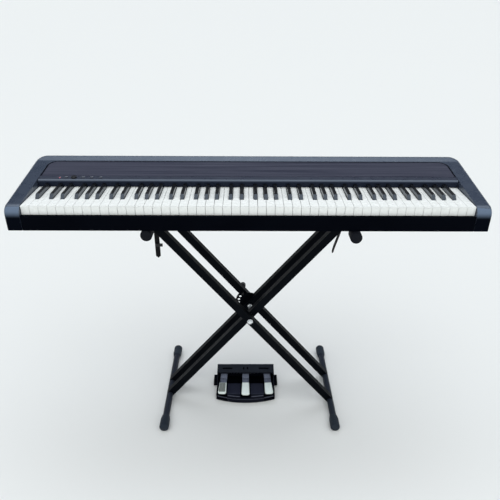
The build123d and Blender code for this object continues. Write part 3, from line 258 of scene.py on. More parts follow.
class Finish:
    """A material with a Principled shader, and short calls for the nodes that the finishes share."""

    def __init__(self, name):
        self.material = bpy.data.materials.new(name)
        self.material.use_nodes = True
        self.tree = self.material.node_tree
        self.shader = self.tree.nodes["Principled BSDF"]
        self.coords = self.tree.nodes.new("ShaderNodeTexCoord").outputs["Object"]

    def link(self, source, target):
        self.tree.links.new(source, target)

    def set(self, **values):
        for name, value in values.items():
            self.shader.inputs[name.replace("_", " ")].default_value = value

    def stretched(self, scale):
        """Object coordinates stretched by a scale along each axis."""
        node = self.tree.nodes.new("ShaderNodeMapping")
        node.inputs["Scale"].default_value = scale
        self.link(self.coords, node.inputs["Vector"])
        return node.outputs["Vector"]

    def noise(self, scale, detail, vector=None):
        node = self.tree.nodes.new("ShaderNodeTexNoise")
        node.inputs["Scale"].default_value = scale
        node.inputs["Detail"].default_value = detail
        self.link(vector or self.coords, node.inputs["Vector"])
        return node.outputs["Fac"]

    def bands(self, axis, scale, distortion):
        """Soft bands across one axis."""
        node = self.tree.nodes.new("ShaderNodeTexWave")
        node.bands_direction = axis
        node.inputs["Scale"].default_value = scale
        node.inputs["Distortion"].default_value = distortion
        self.link(self.coords, node.inputs["Vector"])
        return node.outputs["Fac"]

    def along(self, axis):
        """One object coordinate."""
        node = self.tree.nodes.new("ShaderNodeSeparateXYZ")
        self.link(self.coords, node.inputs["Vector"])
        return node.outputs[axis]

    def joined(self, operation, first, second):
        node = self.tree.nodes.new("ShaderNodeMath")
        node.operation = operation
        self.link(first, node.inputs[0])
        self.link(second, node.inputs[1])
        return node.outputs["Value"]

    def spread(self, value, low=0.0, high=1.0, span=(0.3, 0.7)):
        """A pattern's middle values brought to low..high."""
        return ranged(self.tree, value, span, (low, high), eased=False)

    def faded(self, axis, span):
        """0 to 1 along an axis, eased at both ends."""
        return ranged(self.tree, self.along(axis), span)

    def blend(self, value, first, second):
        return mixed(self.tree, value, first, second)

    def colour(self, source):
        self.link(source, self.shader.inputs["Base Color"])

    def roughness(self, source):
        self.link(source, self.shader.inputs["Roughness"])

    def bump(self, height, distance, strength, edge=0.0):
        """Relief from a height, over edges rounded by a small radius."""
        node = self.tree.nodes.new("ShaderNodeBump")
        node.inputs["Strength"].default_value = strength
        node.inputs["Distance"].default_value = distance
        self.link(height, node.inputs["Height"])
        if edge:
            rounding = self.tree.nodes.new("ShaderNodeBevel")
            rounding.inputs["Radius"].default_value = edge
            self.link(rounding.outputs["Normal"], node.inputs["Normal"])
        self.link(node.outputs["Normal"], self.shader.inputs["Normal"])

    def satin(self, low, high, grain, edge, level, tint):
        """Uneven sheen between two roughnesses, fine grain and a tinted gloss."""
        self.roughness(self.spread(self.noise(scale=40.0, detail=4.0), low, high))
        self.bump(self.noise(grain, detail=2.0), distance=0.00012, strength=0.35, edge=edge)
        self.set(Specular_IOR_Level=level, Specular_Tint=(*tint, 1.0))


def moulded(name, tone, shade, rough, grain, level=0.5, edge=0.0008, tint=PLAIN_GLOSS):
    """Moulded plastic or rubber, its tone clouded with a second one."""
    finish = Finish(name)
    clouds = finish.spread(finish.noise(scale=7.0, detail=4.0))
    finish.colour(finish.blend(clouds, tone, shade))
    finish.satin(rough - 0.05, rough + 0.06, grain, edge, level, tint)
    return finish.material


def streaked_panel():
    """Dark matt panel with faint streaks along its length."""
    finish = Finish("panel_plastic")
    streaks = finish.noise(scale=1.0, detail=5.0, vector=finish.stretched((2.5, 170.0, 170.0)))
    clouds = finish.spread(finish.noise(scale=2.2, detail=3.0))
    tone = finish.blend(clouds, (0.017, 0.0175, 0.034), (0.023, 0.0235, 0.043))
    finish.colour(finish.blend(finish.spread(streaks, span=(0.38, 0.68)), tone, (0.056, 0.056, 0.082)))
    finish.roughness(finish.spread(streaks, 0.52, 0.66))
    finish.bump(finish.noise(scale=1300.0, detail=2.0), distance=0.0001, strength=0.3, edge=0.0006)
    finish.set(Specular_IOR_Level=0.3, Specular_Tint=(*PAINTED_SKY_TINT, 1.0))
    return finish.material


def painted_light_nose():
    """Case plastic of the rounded front ends: a painted highlight towards the deck, painted shade below, the
    case's tone behind.
    """
    finish = Finish("case_nose_painted_light")
    front = finish.blend(finish.faded("Z", NOSE_FADE), (0.0005, 0.0012, 0.0038), (0.125, 0.165, 0.235))
    finish.colour(finish.blend(finish.faded("Y", NOSE_BACK), (0.037, 0.047, 0.071), front))
    finish.satin(0.35, 0.45, grain=1500.0, edge=0.0, level=0.03, tint=PAINTED_SKY_TINT)
    return finish.material


def painted_highlight_lip():
    """Bevel of the strip's lip: a painted highlight along its top edge and painted shade towards the keys."""
    finish = Finish("strip_lip_painted_light")
    finish.colour(finish.blend(finish.faded("Z", LIP_FADE), (0.016, 0.021, 0.036), (0.125, 0.145, 0.185)))
    finish.satin(0.35, 0.45, grain=1500.0, edge=0.0, level=0.1, tint=PAINTED_SKY_TINT)
    return finish.material


def key_gloss():
    """Polished key plastic, a little warmer in patches where fingers play."""
    finish = Finish("white_key")
    patches = finish.spread(finish.noise(scale=5.0, detail=3.0))
    finish.colour(finish.blend(patches, (0.915, 0.925, 0.91), (0.90, 0.91, 0.89)))
    finish.roughness(finish.spread(finish.noise(scale=60.0, detail=3.0), 0.24, 0.3))
    finish.bump(finish.noise(scale=220.0, detail=2.0), distance=0.00005, strength=0.15, edge=0.0005)
    return finish.material


def powder_coat():
    """Black powder coat on steel tube, with a fine orange-peel surface."""
    finish = Finish("tube_paint")
    patches = finish.spread(finish.noise(scale=14.0, detail=4.0))
    finish.colour(finish.blend(patches, (0.0008, 0.0012, 0.0022), (0.0022, 0.0028, 0.0044)))
    finish.roughness(finish.spread(finish.noise(scale=50.0, detail=4.0), 0.42, 0.56))
    finish.bump(finish.noise(scale=650.0, detail=2.0), distance=0.00025, strength=0.4, edge=0.0018)
    finish.set(Specular_IOR_Level=0.05, Specular_Tint=(*PAINTED_SKY_TINT, 1.0))
    return finish.material


def woven_webbing():
    """Tight nylon weave: ribs across the strap and a finer rib along it."""
    finish = Finish("webbing")
    ribs = finish.bands("Z", scale=190.0, distortion=1.0)
    cords = [finish.bands(axis, scale=260.0, distortion=0.6) for axis in ("X", "Y")]
    weave = finish.joined("MAXIMUM", ribs, finish.joined("MULTIPLY", *cords))
    finish.colour(finish.blend(weave, (0.002, 0.002, 0.0026), (0.008, 0.008, 0.010)))
    finish.roughness(finish.spread(weave, 0.75, 0.92))
    finish.bump(weave, distance=0.0004, strength=0.7)
    finish.set(Sheen_Weight=0.08, Sheen_Roughness=0.5, Specular_IOR_Level=0.15)
    return finish.material


def plated(name, tone, shade, rough, brush, metal=1.0):
    """Plated metal, brushed along the piece; below full metal it is a pale satin."""
    finish = Finish(name)
    grain = finish.noise(scale=1.0, detail=4.0, vector=finish.stretched(brush))
    finish.colour(finish.blend(finish.spread(grain), tone, shade))
    finish.roughness(finish.spread(grain, rough - 0.06, rough + 0.08))
    finish.bump(grain, distance=0.00006, strength=0.3, edge=0.0006)
    finish.set(Metallic=metal)
    return finish.material


# One finish for each material slot of the record
FINISHES = {
    "case_plastic": moulded(
        "case_plastic", (0.031, 0.041, 0.064), (0.039, 0.049, 0.074),
        rough=0.28, grain=1500.0, level=0.8, edge=0.0015, tint=PAINTED_SKY_TINT,
    ),
    "panel_plastic": streaked_panel(),
    "strip_plastic": moulded(
        "strip_plastic", (0.025, 0.028, 0.045), (0.030, 0.033, 0.052),
        rough=0.3, grain=1500.0, level=0.8, edge=0.0006, tint=PAINTED_SKY_TINT,
    ),
    "circuit_board": moulded("circuit_board", (0.03, 0.15, 0.06), (0.04, 0.2, 0.08), rough=0.45, grain=600.0),
    "led_lens": moulded("led_lens", (0.85, 0.25, 0.30), (0.8, 0.2, 0.25), rough=0.15, grain=900.0),
    "button_plastic": moulded(
        "button_plastic", (0.03, 0.034, 0.05), (0.034, 0.04, 0.06), rough=0.4, grain=1500.0
    ),
    "knob_plastic": moulded(
        "knob_plastic", (0.005, 0.005, 0.008), (0.009, 0.009, 0.012), rough=0.3, grain=1500.0
    ),
    "frame_plastic": moulded("frame_plastic", (0.08, 0.08, 0.09), (0.1, 0.1, 0.11), rough=0.6, grain=900.0),
    "felt": moulded("felt", (0.2, 0.02, 0.03), (0.26, 0.03, 0.04), rough=0.9, grain=700.0),
    "speaker_plastic": moulded(
        "speaker_plastic", (0.02, 0.02, 0.02), (0.03, 0.03, 0.03), rough=0.6, grain=900.0
    ),
    "rubber": moulded("rubber", (0.02, 0.02, 0.022), (0.028, 0.028, 0.03), rough=0.7, grain=1100.0),
    "cap_rubber": moulded(
        "cap_rubber", (0.010, 0.014, 0.021), (0.017, 0.023, 0.032),
        rough=0.58, grain=700.0, level=0.25, tint=PAINTED_SKY_TINT,
    ),
    "bolt_steel": plated(
        "bolt_steel", (0.82, 0.84, 0.86), (0.7, 0.72, 0.74), rough=0.25, brush=(300.0, 300.0, 300.0)
    ),
    "white_key": key_gloss(),
    "black_key": moulded(
        "black_key", (0.007, 0.008, 0.010), (0.010, 0.011, 0.013),
        rough=0.12, grain=900.0, level=1.0, edge=0.001, tint=PAINTED_SKY_TINT,
    ),
    "tube_paint": powder_coat(),
    "lock_knob": moulded("lock_knob", (0.006, 0.006, 0.008), (0.01, 0.01, 0.012), rough=0.45, grain=900.0),
    "webbing": woven_webbing(),
    "pedal_plastic": moulded(
        "pedal_plastic", (0.0040, 0.0048, 0.0085), (0.0058, 0.0066, 0.011),
        rough=0.45, grain=1300.0, level=0.12, edge=0.0012, tint=PAINTED_SKY_TINT,
    ),
    # Pale base at low metalness: partly the plating's own pale tone, partly a painted reflection of the
    # bright sky
    "pedal_metal": plated(
        "pedal_metal", (0.80, 0.87, 0.84), (0.74, 0.81, 0.78), rough=0.36, brush=BRUSHED, metal=0.3
    ),
}

# Second finishes, for some faces of a node or for one piece
# Near-black with its gloss nearly off: painted shade on the front rail, in gaps and in the pedal unit's
# channels
PAINTED_SHADE_BLACK = moulded(
    "painted_shade_black", (0.0004, 0.0009, 0.0026), (0.0009, 0.0016, 0.0038),
    rough=0.7, grain=1500.0, level=0.02, edge=0.0,
)
CASE_NOSE_PAINTED_LIGHT = painted_light_nose()
# Front face of the control strip, darker than its top: painted shade
STRIP_DROP_PAINTED_SHADE = moulded(
    "strip_drop_painted_shade", (0.013, 0.018, 0.033), (0.018, 0.023, 0.040),
    rough=0.5, grain=1500.0, level=0.05, edge=0.0,
)
STRIP_LIP_PAINTED_LIGHT = painted_highlight_lip()
# Grey on the white keys' top front edges: a painted shadow line
KEY_EDGE_PAINTED_SHADOW = moulded(
    "key_edge_painted_shadow", (0.30, 0.32, 0.32), (0.34, 0.36, 0.36), rough=0.4, grain=900.0, level=0.3, edge=0.0
)
# Black key tops darker and less glossy than their sides: painted shade
BLACK_TOP_PAINTED_SHADE = moulded(
    "black_key_top_painted_shade", (0.0014, 0.0014, 0.002), (0.0026, 0.0026, 0.0034),
    rough=0.3, grain=900.0, level=0.12, edge=0.001,
)
# Darker copy of the cap rubber for the top arms' caps: painted shade
ARM_CAP_PAINTED_SHADE = moulded(
    "arm_cap_painted_shade", (0.003, 0.004, 0.007), (0.006, 0.007, 0.011), rough=0.6, grain=700.0, level=0.1
)
# Lighter copy of the pedal plastic on the plates between the pedals: painted light
PEDAL_PLATE_PAINTED_LIGHT = moulded(
    "pedal_plate_painted_light", (0.012, 0.0132, 0.0265), (0.0155, 0.0168, 0.032),
    rough=0.4, grain=1300.0, level=0.2, edge=0.001, tint=PAINTED_SKY_TINT,
)
# Darker copy of the pedal plastic on the base's front faces and the lip's top: painted shade
PEDAL_LIP_PAINTED_SHADE = moulded(
    "pedal_lip", (0.0022, 0.0030, 0.0078), (0.0032, 0.0040, 0.0098),
    rough=0.5, grain=1300.0, level=0.06, edge=0.001,
)
# Lighter copy of the tube's black paint for the foot bars: painted light
FOOT_BAR_PAINTED_LIGHT = moulded(
    "foot_bar_painted_light", (0.010, 0.013, 0.021), (0.015, 0.018, 0.027),
    rough=0.45, grain=650.0, level=0.2, edge=0.0, tint=PAINTED_SKY_TINT,
)
# Lighter tone of the raised lines on the pedal base: a painted highlight on a real bead
TRIM_PAINTED_HIGHLIGHT = moulded(
    "trim_painted_highlight", (0.055, 0.060, 0.085), (0.068, 0.073, 0.10), rough=0.4, grain=900.0, level=0.3
)
LEGEND_INK = moulded("legend_ink", (0.42, 0.44, 0.5), (0.5, 0.52, 0.58), rough=0.6, grain=900.0)
# Darker, duller copy of the pedal metal for the levers' rear: painted shadow of the piano
LEVER_STEEL_PAINTED_SHADE = plated(
    "lever_steel_painted_shade", (0.085, 0.095, 0.13), (0.062, 0.070, 0.098), rough=0.42, brush=BRUSHED, metal=0.6
)
# Darker, duller face on the left pad: a painted dark reflection
PAD_PAINTED_REFLECTION = plated(
    "pad_painted_reflection", (0.26, 0.28, 0.26), (0.19, 0.205, 0.19), rough=0.5, brush=(300.0, 30.0, 300.0), metal=0.5
)


def middle(node):
    low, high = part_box(node)
    return (low + high) / 2


def paint_faces(node, finish, test):
    """Faces of a node whose centre and normal pass a test, painted with one more finish."""
    data = NODES[node].data
    data.materials.append(finish)
    for face in data.polygons:
        if test(face.center, face.normal):
            face.material_index = len(data.materials) - 1


def on_nose(centre, normal):
    return normal.y < -NOSE_TURN and EDGE_TURN < normal.z < CROWN_TURN


def on_front_bevel(centre, normal):
    return FRONT_TURN < normal.y < EDGE_TURN


def on_top_front_edge(centre, normal):
    return on_front_bevel(centre, normal) and normal.z > 0


def on_pedal_plate(centre, normal):
    return normal.z > FACING and PEDAL_FLOOR < centre.z < LIP_TOP


def in_pedal_channel(centre, normal):
    return normal.z > FACING and centre.z <= PEDAL_FLOOR


def finish_nodes():
    for part in frame["record"]["subparts"]:
        data = NODES[part["node"]].data
        data.materials.clear()
        data.materials.append(FINISHES[part["material_slot"]])
    # Front rail near-black: painted shade
    NODES["front_rail"].data.materials[0] = PAINTED_SHADE_BLACK
    # Foot bars: painted light
    for bar in ("inner_foot_bar", "outer_foot_bar"):
        NODES[bar].data.materials[0] = FOOT_BAR_PAINTED_LIGHT
    # Rounded front ends of the case: painted highlight above, painted shade below
    paint_faces("upper_case", CASE_NOSE_PAINTED_LIGHT, on_nose)
    # Lip of the control strip: painted highlight and painted shade
    paint_faces("control_strip", STRIP_LIP_PAINTED_LIGHT, on_front_bevel)
    # Front face of the control strip: painted shade
    paint_faces("control_strip", STRIP_DROP_PAINTED_SHADE, lambda centre, normal: normal.y <= FRONT_TURN)
    for node in NODES:
        if node.startswith("white_key"):
            # Top front edges of the white keys: painted shadow line
            paint_faces(node, KEY_EDGE_PAINTED_SHADOW, on_top_front_edge)
        if node.startswith("black_key"):
            # Black key tops: painted shade
            paint_faces(node, BLACK_TOP_PAINTED_SHADE, lambda centre, normal: normal.z > TOP_TURN)
    unit = middle("pedal_base").x
    # Front faces and lip top of the pedal base: painted shade
    paint_faces("pedal_base", PEDAL_LIP_PAINTED_SHADE, lambda centre, normal: normal.y < EDGE_TURN or centre.z > LIP_TOP)
    # Plates between the pedals: painted light
    paint_faces("pedal_base", PEDAL_PLATE_PAINTED_LIGHT, on_pedal_plate)
    # Channel floors under the hood and the base's far ends near-black: painted shade
    paint_faces("pedal_base", PAINTED_SHADE_BLACK, in_pedal_channel)
    paint_faces("pedal_base", PAINTED_SHADE_BLACK, lambda centre, normal: abs(centre.x - unit) > PEDAL_HALF)


# Modelling


def alone(piece):
    """Piece selected and active, and nothing else."""
    bpy.ops.object.select_all(action="DESELECT")
    piece.select_set(True)
    bpy.context.view_layer.objects.active = piece


def draw_line(name, points):
    """New piece with one line through points, in edit mode and all selected."""
    bpy.ops.object.select_all(action="DESELECT")
    bpy.ops.mesh.primitive_plane_add(size=SEED_SIZE)
    piece = bpy.context.object
    piece.name = name
    bpy.ops.object.mode_set(mode="EDIT")
    bpy.ops.mesh.merge(type="CENTER")
    bpy.ops.transform.translate(value=points[0])
    for start, end in zip(points, points[1:]):
        step = Vector(end) - Vector(start)
        bpy.ops.mesh.extrude_vertices_move(TRANSFORM_OT_translate={"value": step})
    bpy.ops.mesh.select_all(action="SELECT")
    return piece


def extrude(step):
    """Selected region carried by a step, with walls behind it."""
    bpy.ops.mesh.extrude_region_move(TRANSFORM_OT_translate={"value": step})


def close_mesh():
    """Doubles merged and faces turned outwards, back in object mode."""
    bpy.ops.mesh.select_all(action="SELECT")
    bpy.ops.mesh.remove_doubles(threshold=MERGE_GAP)
    bpy.ops.mesh.normals_make_consistent(inside=False)
    bpy.ops.object.mode_set(mode="OBJECT")


def turned(name, profile):
    """Turned piece: a profile of (radius, height) points spun about Z."""
    piece = draw_line(name, [(radius, 0.0, height) for radius, height in profile])
    bpy.ops.mesh.spin(steps=TURN_STEPS, angle=2 * math.pi, center=(0, 0, 0), axis=(0, 0, 1))
    close_mesh()
    return piece


def flat_bar(name, outline, width):
    """Side outline in the YZ plane carried along X by width, centred."""
    piece = draw_line(name, [(-width / 2, y, z) for y, z in outline])
    bpy.ops.mesh.edge_face_add()
    extrude((width, 0, 0))
    close_mesh()
    return piece


def block(name, size):
    """Block about the origin."""
    bpy.ops.object.select_all(action="DESELECT")
    bpy.ops.mesh.primitive_cube_add(size=1.0, scale=size)
    piece = bpy.context.object
    piece.name = name
    bpy.ops.object.transform_apply(location=False, rotation=False, scale=True)
    return piece


def pick(piece, faces=None, edges=None):
    """Edit mode, with the faces selected whose centre and normal pass a test, or the edges whose ends do."""
    alone(piece)
    mesh = piece.data
    bpy.ops.object.mode_set(mode="EDIT")
    bpy.ops.mesh.select_all(action="DESELECT")
    bpy.ops.mesh.select_mode(type="FACE" if faces else "EDGE")
    bpy.ops.object.mode_set(mode="OBJECT")
    if faces:
        for face in mesh.polygons:
            face.select = faces(face.center, face.normal)
    if edges:
        for edge in mesh.edges:
            edge.select = edges(*(mesh.vertices[end].co for end in edge.vertices))
    bpy.ops.object.mode_set(mode="EDIT")


def finish_edit():
    bpy.ops.mesh.select_mode(type="VERT")
    bpy.ops.object.mode_set(mode="OBJECT")


def cut_away(piece, faces):
    """Faces that pass a test deleted."""
    pick(piece, faces=faces)
    bpy.ops.mesh.delete(type="FACE")
    finish_edit()


def ease_edges(piece, width, segments=3):
    """Sharp edges rounded."""
    alone(piece)
    ease = piece.modifiers.new("eased", "BEVEL")
    ease.width = width
    ease.segments = segments
    ease.limit_method = "ANGLE"
    bpy.ops.object.modifier_apply(modifier=ease.name)


def put(piece, place, turn=(0, 0, 0)):
    """Piece turned and moved, with its place kept in its mesh."""
    piece.rotation_euler = turn
    piece.location = place
    alone(piece)
    bpy.ops.object.transform_apply(location=True, rotation=True, scale=True)


def copy_of(piece, name):
    twin = piece.copy()
    twin.data = piece.data.copy()
    twin.name = name
    bpy.context.scene.collection.objects.link(twin)
    return twin


def dress(piece, body, slot, finish=None):
    """Piece painted, smoothed and carried by its body."""
    piece.data.materials.clear()
    piece.data.materials.append(finish or FINISHES[slot])
    alone(piece)
    bpy.ops.object.shade_smooth_by_angle(angle=SMOOTH_ANGLE)
    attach(piece, body)
    return piece


def coil_spring(name, radius, length, turns):
    """Coil of round wire that winds up Z from the origin."""
    bpy.ops.object.select_all(action="DESELECT")
    wire = SPRING_WIRE / 2
    bpy.ops.mesh.primitive_circle_add(vertices=SPRING_WIRE_SIDES, radius=wire)
    coil = bpy.context.object
    coil.name = name
    put(coil, (radius, 0, wire), (math.pi / 2, 0, 0))
    winding = coil.modifiers.new("winding", "SCREW")
    winding.screw_offset = (length - SPRING_WIRE) / turns
    winding.iterations = turns
    winding.steps = SPRING_TURN_STEPS
    winding.render_steps = SPRING_TURN_STEPS
    bpy.ops.object.modifier_apply(modifier=winding.name)
    bpy.ops.object.mode_set(mode="EDIT")
    bpy.ops.mesh.select_all(action="SELECT")
    bpy.ops.mesh.fill_holes(sides=SPRING_WIRE_SIDES)
    close_mesh()
    return coil


# Stand


def cap_profile(radius):
    """Half-section of a rubber cap from its closed end: rounded rim, two grooves, a flare in to the bar."""
    body = CAP_LENGTH - CAP_FLARE
    rim = radius - CAP_CORNER
    points = [(0.0, 0.0), (radius - CAP_EDGE, 0.0), (rim, CAP_CORNER), (radius, CAP_EDGE)]
    for part in CAP_GROOVES_AT:
        groove = part * body
        points.append((radius, groove - CAP_GROOVE))
        points.append((radius - CAP_GROOVE, groove))
        points.append((radius, groove + CAP_GROOVE))
    return points + [(radius, body), (CAP_NECK_R, CAP_LENGTH), (BAR_R, CAP_LENGTH)]


def end_caps():
    """Ribbed rubber caps on the top arms and foot bars; the top arms' caps get a darker copy of the rubber,
    painted shade.
    """
    for bar, radius, finish in (("top_arm", ARM_CAP_R, ARM_CAP_PAINTED_SHADE), ("foot_bar", FOOT_CAP_R, None)):
        model = turned("cap_model", cap_profile(radius))
        for stand_frame in ("inner", "outer"):
            low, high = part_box(stand_frame + "_" + bar)
            centre = (low + high) / 2
            height = radius if bar == "foot_bar" else centre.z
            ends = {"front": (low.y - CAP_END_T, -math.pi / 2), "rear": (high.y + CAP_END_T, math.pi / 2)}
            for end, (y, turn) in ends.items():
                cap = copy_of(model, "_".join((stand_frame, bar, end, "cap")))
                put(cap, (centre.x, y, height), (turn, 0, 0))
                dress(cap, stand_frame + "_frame", "cap_rubber", finish)
                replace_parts(cap, stand_frame + "_end_caps")
        bpy.data.objects.remove(model)


def dome_profile(radius, height):
    """Quarter ellipse from its rim to its top."""
    angles = [step * math.pi / (2 * DOME_STEPS) for step in range(DOME_STEPS + 1)]
    return [(radius * math.cos(angle), height * math.sin(angle)) for angle in angles]


def pivot_steel():
    """Polished dome on the pivot bolt's head, and a bright collar on the nut between the inner legs."""
    centre = middle("pivot_bolt")
    dome = turned("bolt_dome", dome_profile(BOLT_HEAD_R, BOLT_DOME))
    put(dome, (centre.x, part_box("pivot_bolt")[0].y + BOLT_DOME / 3, centre.z), (math.pi / 2, 0, 0))
    collar = turned("hub_nut_collar", dome_profile(HUB_NUT_R, HUB_NUT_DOME))
    put(collar, (centre.x, HUB_NUT_FRONT, centre.z), (math.pi / 2, 0, 0))
    for piece in (dome, collar):
        dress(piece, "inner_frame", "bolt_steel")


def lock_coil():
    """Coil spring round the lock pin."""
    low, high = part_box("lock_spring")
    centre = (low + high) / 2
    coil = coil_spring("lock_coil", LOCK_SPRING_R, high.y - low.y, LOCK_SPRING_TURNS)
    put(coil, (centre.x, low.y, centre.z), (-math.pi / 2, 0, 0))
    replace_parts(dress(coil, "outer_frame", "bolt_steel"), "lock_spring")
    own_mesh(coil)


def strap_loop(name, arm, y):
    """Band of webbing round a top arm."""
    inner = BAR_R + STRAP_CLEAR
    half = STRAP_LOOP_W / 2
    rim = [(inner, -half), (inner + STRAP_T, -half), (inner + STRAP_T, half), (inner, half), (inner, -half)]
    loop = turned(name, rim)
    put(loop, (middle(arm).x, y, middle(arm).z), (math.pi / 2, 0, 0))
    return loop


def webbing_band(name, line, across):
    """Flat band along a line, spread by the vector across and given the webbing's thickness."""
    half = Vector(across) / 2
    band = draw_line(name, [Vector(point) - half for point in line])
    extrude(across)
    close_mesh()
    alone(band)
    smooth = band.modifiers.new("hang", "SUBSURF")
    smooth.levels = STRAP_SMOOTHING
    smooth.render_levels = STRAP_SMOOTHING
    wall = band.modifiers.new("webbing", "SOLIDIFY")
    wall.thickness = STRAP_T
    wall.offset = 0.0
    for modifier in (smooth, wall):
        bpy.ops.object.modifier_apply(modifier=modifier.name)
    return band


def ladder_buckle(name):
    """Buckle with a hollow in its front."""
    buckle = block(name, BUCKLE_SIZE)
    pick(buckle, faces=lambda centre, normal: normal.y < -FACING)
    bpy.ops.mesh.inset(thickness=BUCKLE_FRAME)
    extrude((0, BUCKLE_HOLLOW, 0))
    finish_edit()
    ease_edges(buckle, BUCKLE_EDGE_R)
    return buckle


def strap_left():
    """Hanging strap with a pointed end and a ladder buckle."""
    low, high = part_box("strap_left")
    arm = middle("outer_top_arm")
    y = low.y + STRAP_LOOP_W / 2
    loop = strap_loop("strap_left_loop", "outer_top_arm", y)
    top = arm.z - BAR_R
    drop = top - low.z
    line = [(arm.x, y + lean, top - part * drop) for part, lean in STRAP_LEFT_SWAY]
    tail = webbing_band("strap_left_tail", line, (STRAP_LEFT_W, 0, 0))
    pick(tail, edges=lambda a, b: max(a.z, b.z) < low.z + STRAP_LEFT_POINT / 3)
    bpy.ops.transform.resize(value=(STRAP_LEFT_TAPER, 1, 1), center_override=(arm.x, y, low.z))
    finish_edit()
    buckle = ladder_buckle("strap_left_buckle")
    width, depth, _ = BUCKLE_SIZE
    put(buckle, (high.x - width / 2, y - STRAP_T - depth / 2 + BUCKLE_SUNK, top - BUCKLE_DROP))
    for piece in (loop, tail):
        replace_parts(dress(piece, "outer_frame", "webbing"), "strap_left")
    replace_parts(dress(buckle, "outer_frame", "lock_knob"), "strap_left")


def strap_right():
    """Loose strap seen along its edge, bent a little where it leaves the arm."""
    low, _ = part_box("strap_right")
    arm = middle("inner_top_arm")
    y = middle("strap_right").y
    loop = strap_loop("strap_right_loop", "inner_top_arm", y)
    length = (arm.z - low.z) / math.cos(STRAP_RIGHT_TILT)
    line = []
    for part, lean in STRAP_RIGHT_BOW:
        reach = part * (length - STRAP_T)
        x = arm.x - reach * math.sin(STRAP_RIGHT_TILT) + lean
        line.append((x, y, arm.z - reach * math.cos(STRAP_RIGHT_TILT)))
    tail = webbing_band("strap_right_tail", line, (0, STRAP_LOOP_W, 0))
    for piece in (loop, tail):
        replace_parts(dress(piece, "inner_frame", "webbing"), "strap_right")


# Pedals


def lever_outline(front):
    """Side of a lever's steel: from its rear over the groove and the bend to its tip, and back below."""
    bend_y, bend_z = LEVER_BEND
    rear_y, rear_z = LEVER_REAR
    groove_y, groove_half = LEVER_GROOVE
    tip = (front + LEVER_CORNER_R, LEVER_TIP_H)
    fall = (rear_z - bend_z) / (rear_y - bend_y)
    outline = [LEVER_REAR]
    for step, depth in ((groove_half, 0.0), (0.0, 2 * groove_half), (-groove_half, 0.0)):
        y = groove_y + step
        outline.append((y, bend_z + (y - bend_y) * fall - depth))
    outline += [LEVER_BEND, tip]
    return outline + [(y, z - LEVER_T) for y, z in (tip, LEVER_BEND, LEVER_REAR)]


def pad_block(name, size, corner, steps):
    """Block with its front corners rounded and its rear drawn in to the lever's width."""
    piece = block(name, size)
    pick(piece, edges=lambda a, b: max(a.y, b.y) < 0 and abs(a.x - b.x) < SAME_PLACE)
    bpy.ops.mesh.bevel(offset=corner, segments=steps)
    finish_edit()
    pick(piece, edges=lambda a, b: min(a.y, b.y) > 0)
    bpy.ops.transform.resize(value=(PAD_TAPER, 1, 1), center_override=(0, 0, 0))
    finish_edit()
    return piece


def dark_reflection_patch(name, reach, place, slope, turn):
    """Darker face of a pad, a painted dark reflection, that leaves a pale rim at its side and front."""
    width = LEVER_TIP_W - PAD_SIDE_RIM - LEVER_EDGE_R
    length = reach - PAD_FRONT_RIM - LEVER_EDGE_R
    corner = LEVER_CORNER_R - PAD_SIDE_RIM
    reflection_spot = pad_block(name + "_dark_reflection_patch", (width, length, PATCH_T), corner, PATCH_CORNER_STEPS)
    ease_edges(reflection_spot, 0.4 * PATCH_T, 2)
    aside = (LEVER_EDGE_R - PAD_SIDE_RIM) / 2
    back = (PAD_FRONT_RIM - LEVER_EDGE_R) / 2
    tilt = Matrix.Rotation(turn, 3, "Z") @ Matrix.Rotation(slope, 3, "X")
    put(reflection_spot, place + tilt @ Vector((aside, back, LEVER_T / 2)), (slope, 0, turn))
    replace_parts(dress(reflection_spot, name, "pedal_metal", PAD_PAINTED_REFLECTION), name)


def lever(name, lean):
    """Steel lever with a groove across its rear, and a rounded pad over its front; lean is 1, 0 or -1."""
    low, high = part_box(name)
    tip_x = middle(name).x - lean * (LEVER_SPLAY / 2 - (LEVER_TIP_W - LEVER_W) / 4)
    tip = Vector((tip_x, low.y, 0))
    turn = -lean * math.atan2(LEVER_SPLAY, high.y - low.y)
    steel = flat_bar(name + "_steel", [(y - low.y, z) for y, z in lever_outline(low.y)], LEVER_W)
    ease_edges(steel, 0.5 * LEVER_EDGE_R)
    put(steel, tip, (0, 0, turn))
    # Rear steel of the lever: painted shadow
    dress(steel, name, "pedal_metal", LEVER_STEEL_PAINTED_SHADE)
    bend_y, bend_z = LEVER_BEND
    slope = math.atan2(bend_z - LEVER_TIP_H, bend_y - low.y)
    reach = PAD_START - low.y
    pad_size = (LEVER_TIP_W, reach / math.cos(slope), LEVER_T)
    pad = pad_block(name + "_pad", pad_size, LEVER_CORNER_R, PAD_CORNER_STEPS)
    ease_edges(pad, LEVER_EDGE_R, PAD_EDGE_STEPS)
    height = LEVER_TIP_H + reach / 2 * math.tan(slope) - LEVER_T / 2 + PAD_RISE
    place = Matrix.Rotation(turn, 3, "Z") @ Vector((0, reach / 2, height)) + tip
    put(pad, place, (slope, 0, turn))
    dress(pad, name, "pedal_metal")
    # Darker face of the left pad: painted dark reflection
    if name == "pedal_left":
        dark_reflection_patch(name, reach, place, slope, turn)
    for piece in (steel, pad):
        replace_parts(piece, name)


def return_coil(name, lean):
    """Coil spring under a lever."""
    x = middle(name).x + lean * LEVER_SPLAY * (RETURN_SPRING_LEAN - 0.5)
    length = RETURN_SPRING_TOP - RETURN_SPRING_FOOT
    coil = coil_spring(name + "_coil", RETURN_SPRING_R, length, RETURN_SPRING_TURNS)
    foot = (x, RETURN_SPRING_Y, RETURN_SPRING_FOOT)
    put(coil, foot)
    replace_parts(dress(coil, "pedal_unit", "bolt_steel"), "pedal_springs")
    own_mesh(coil)


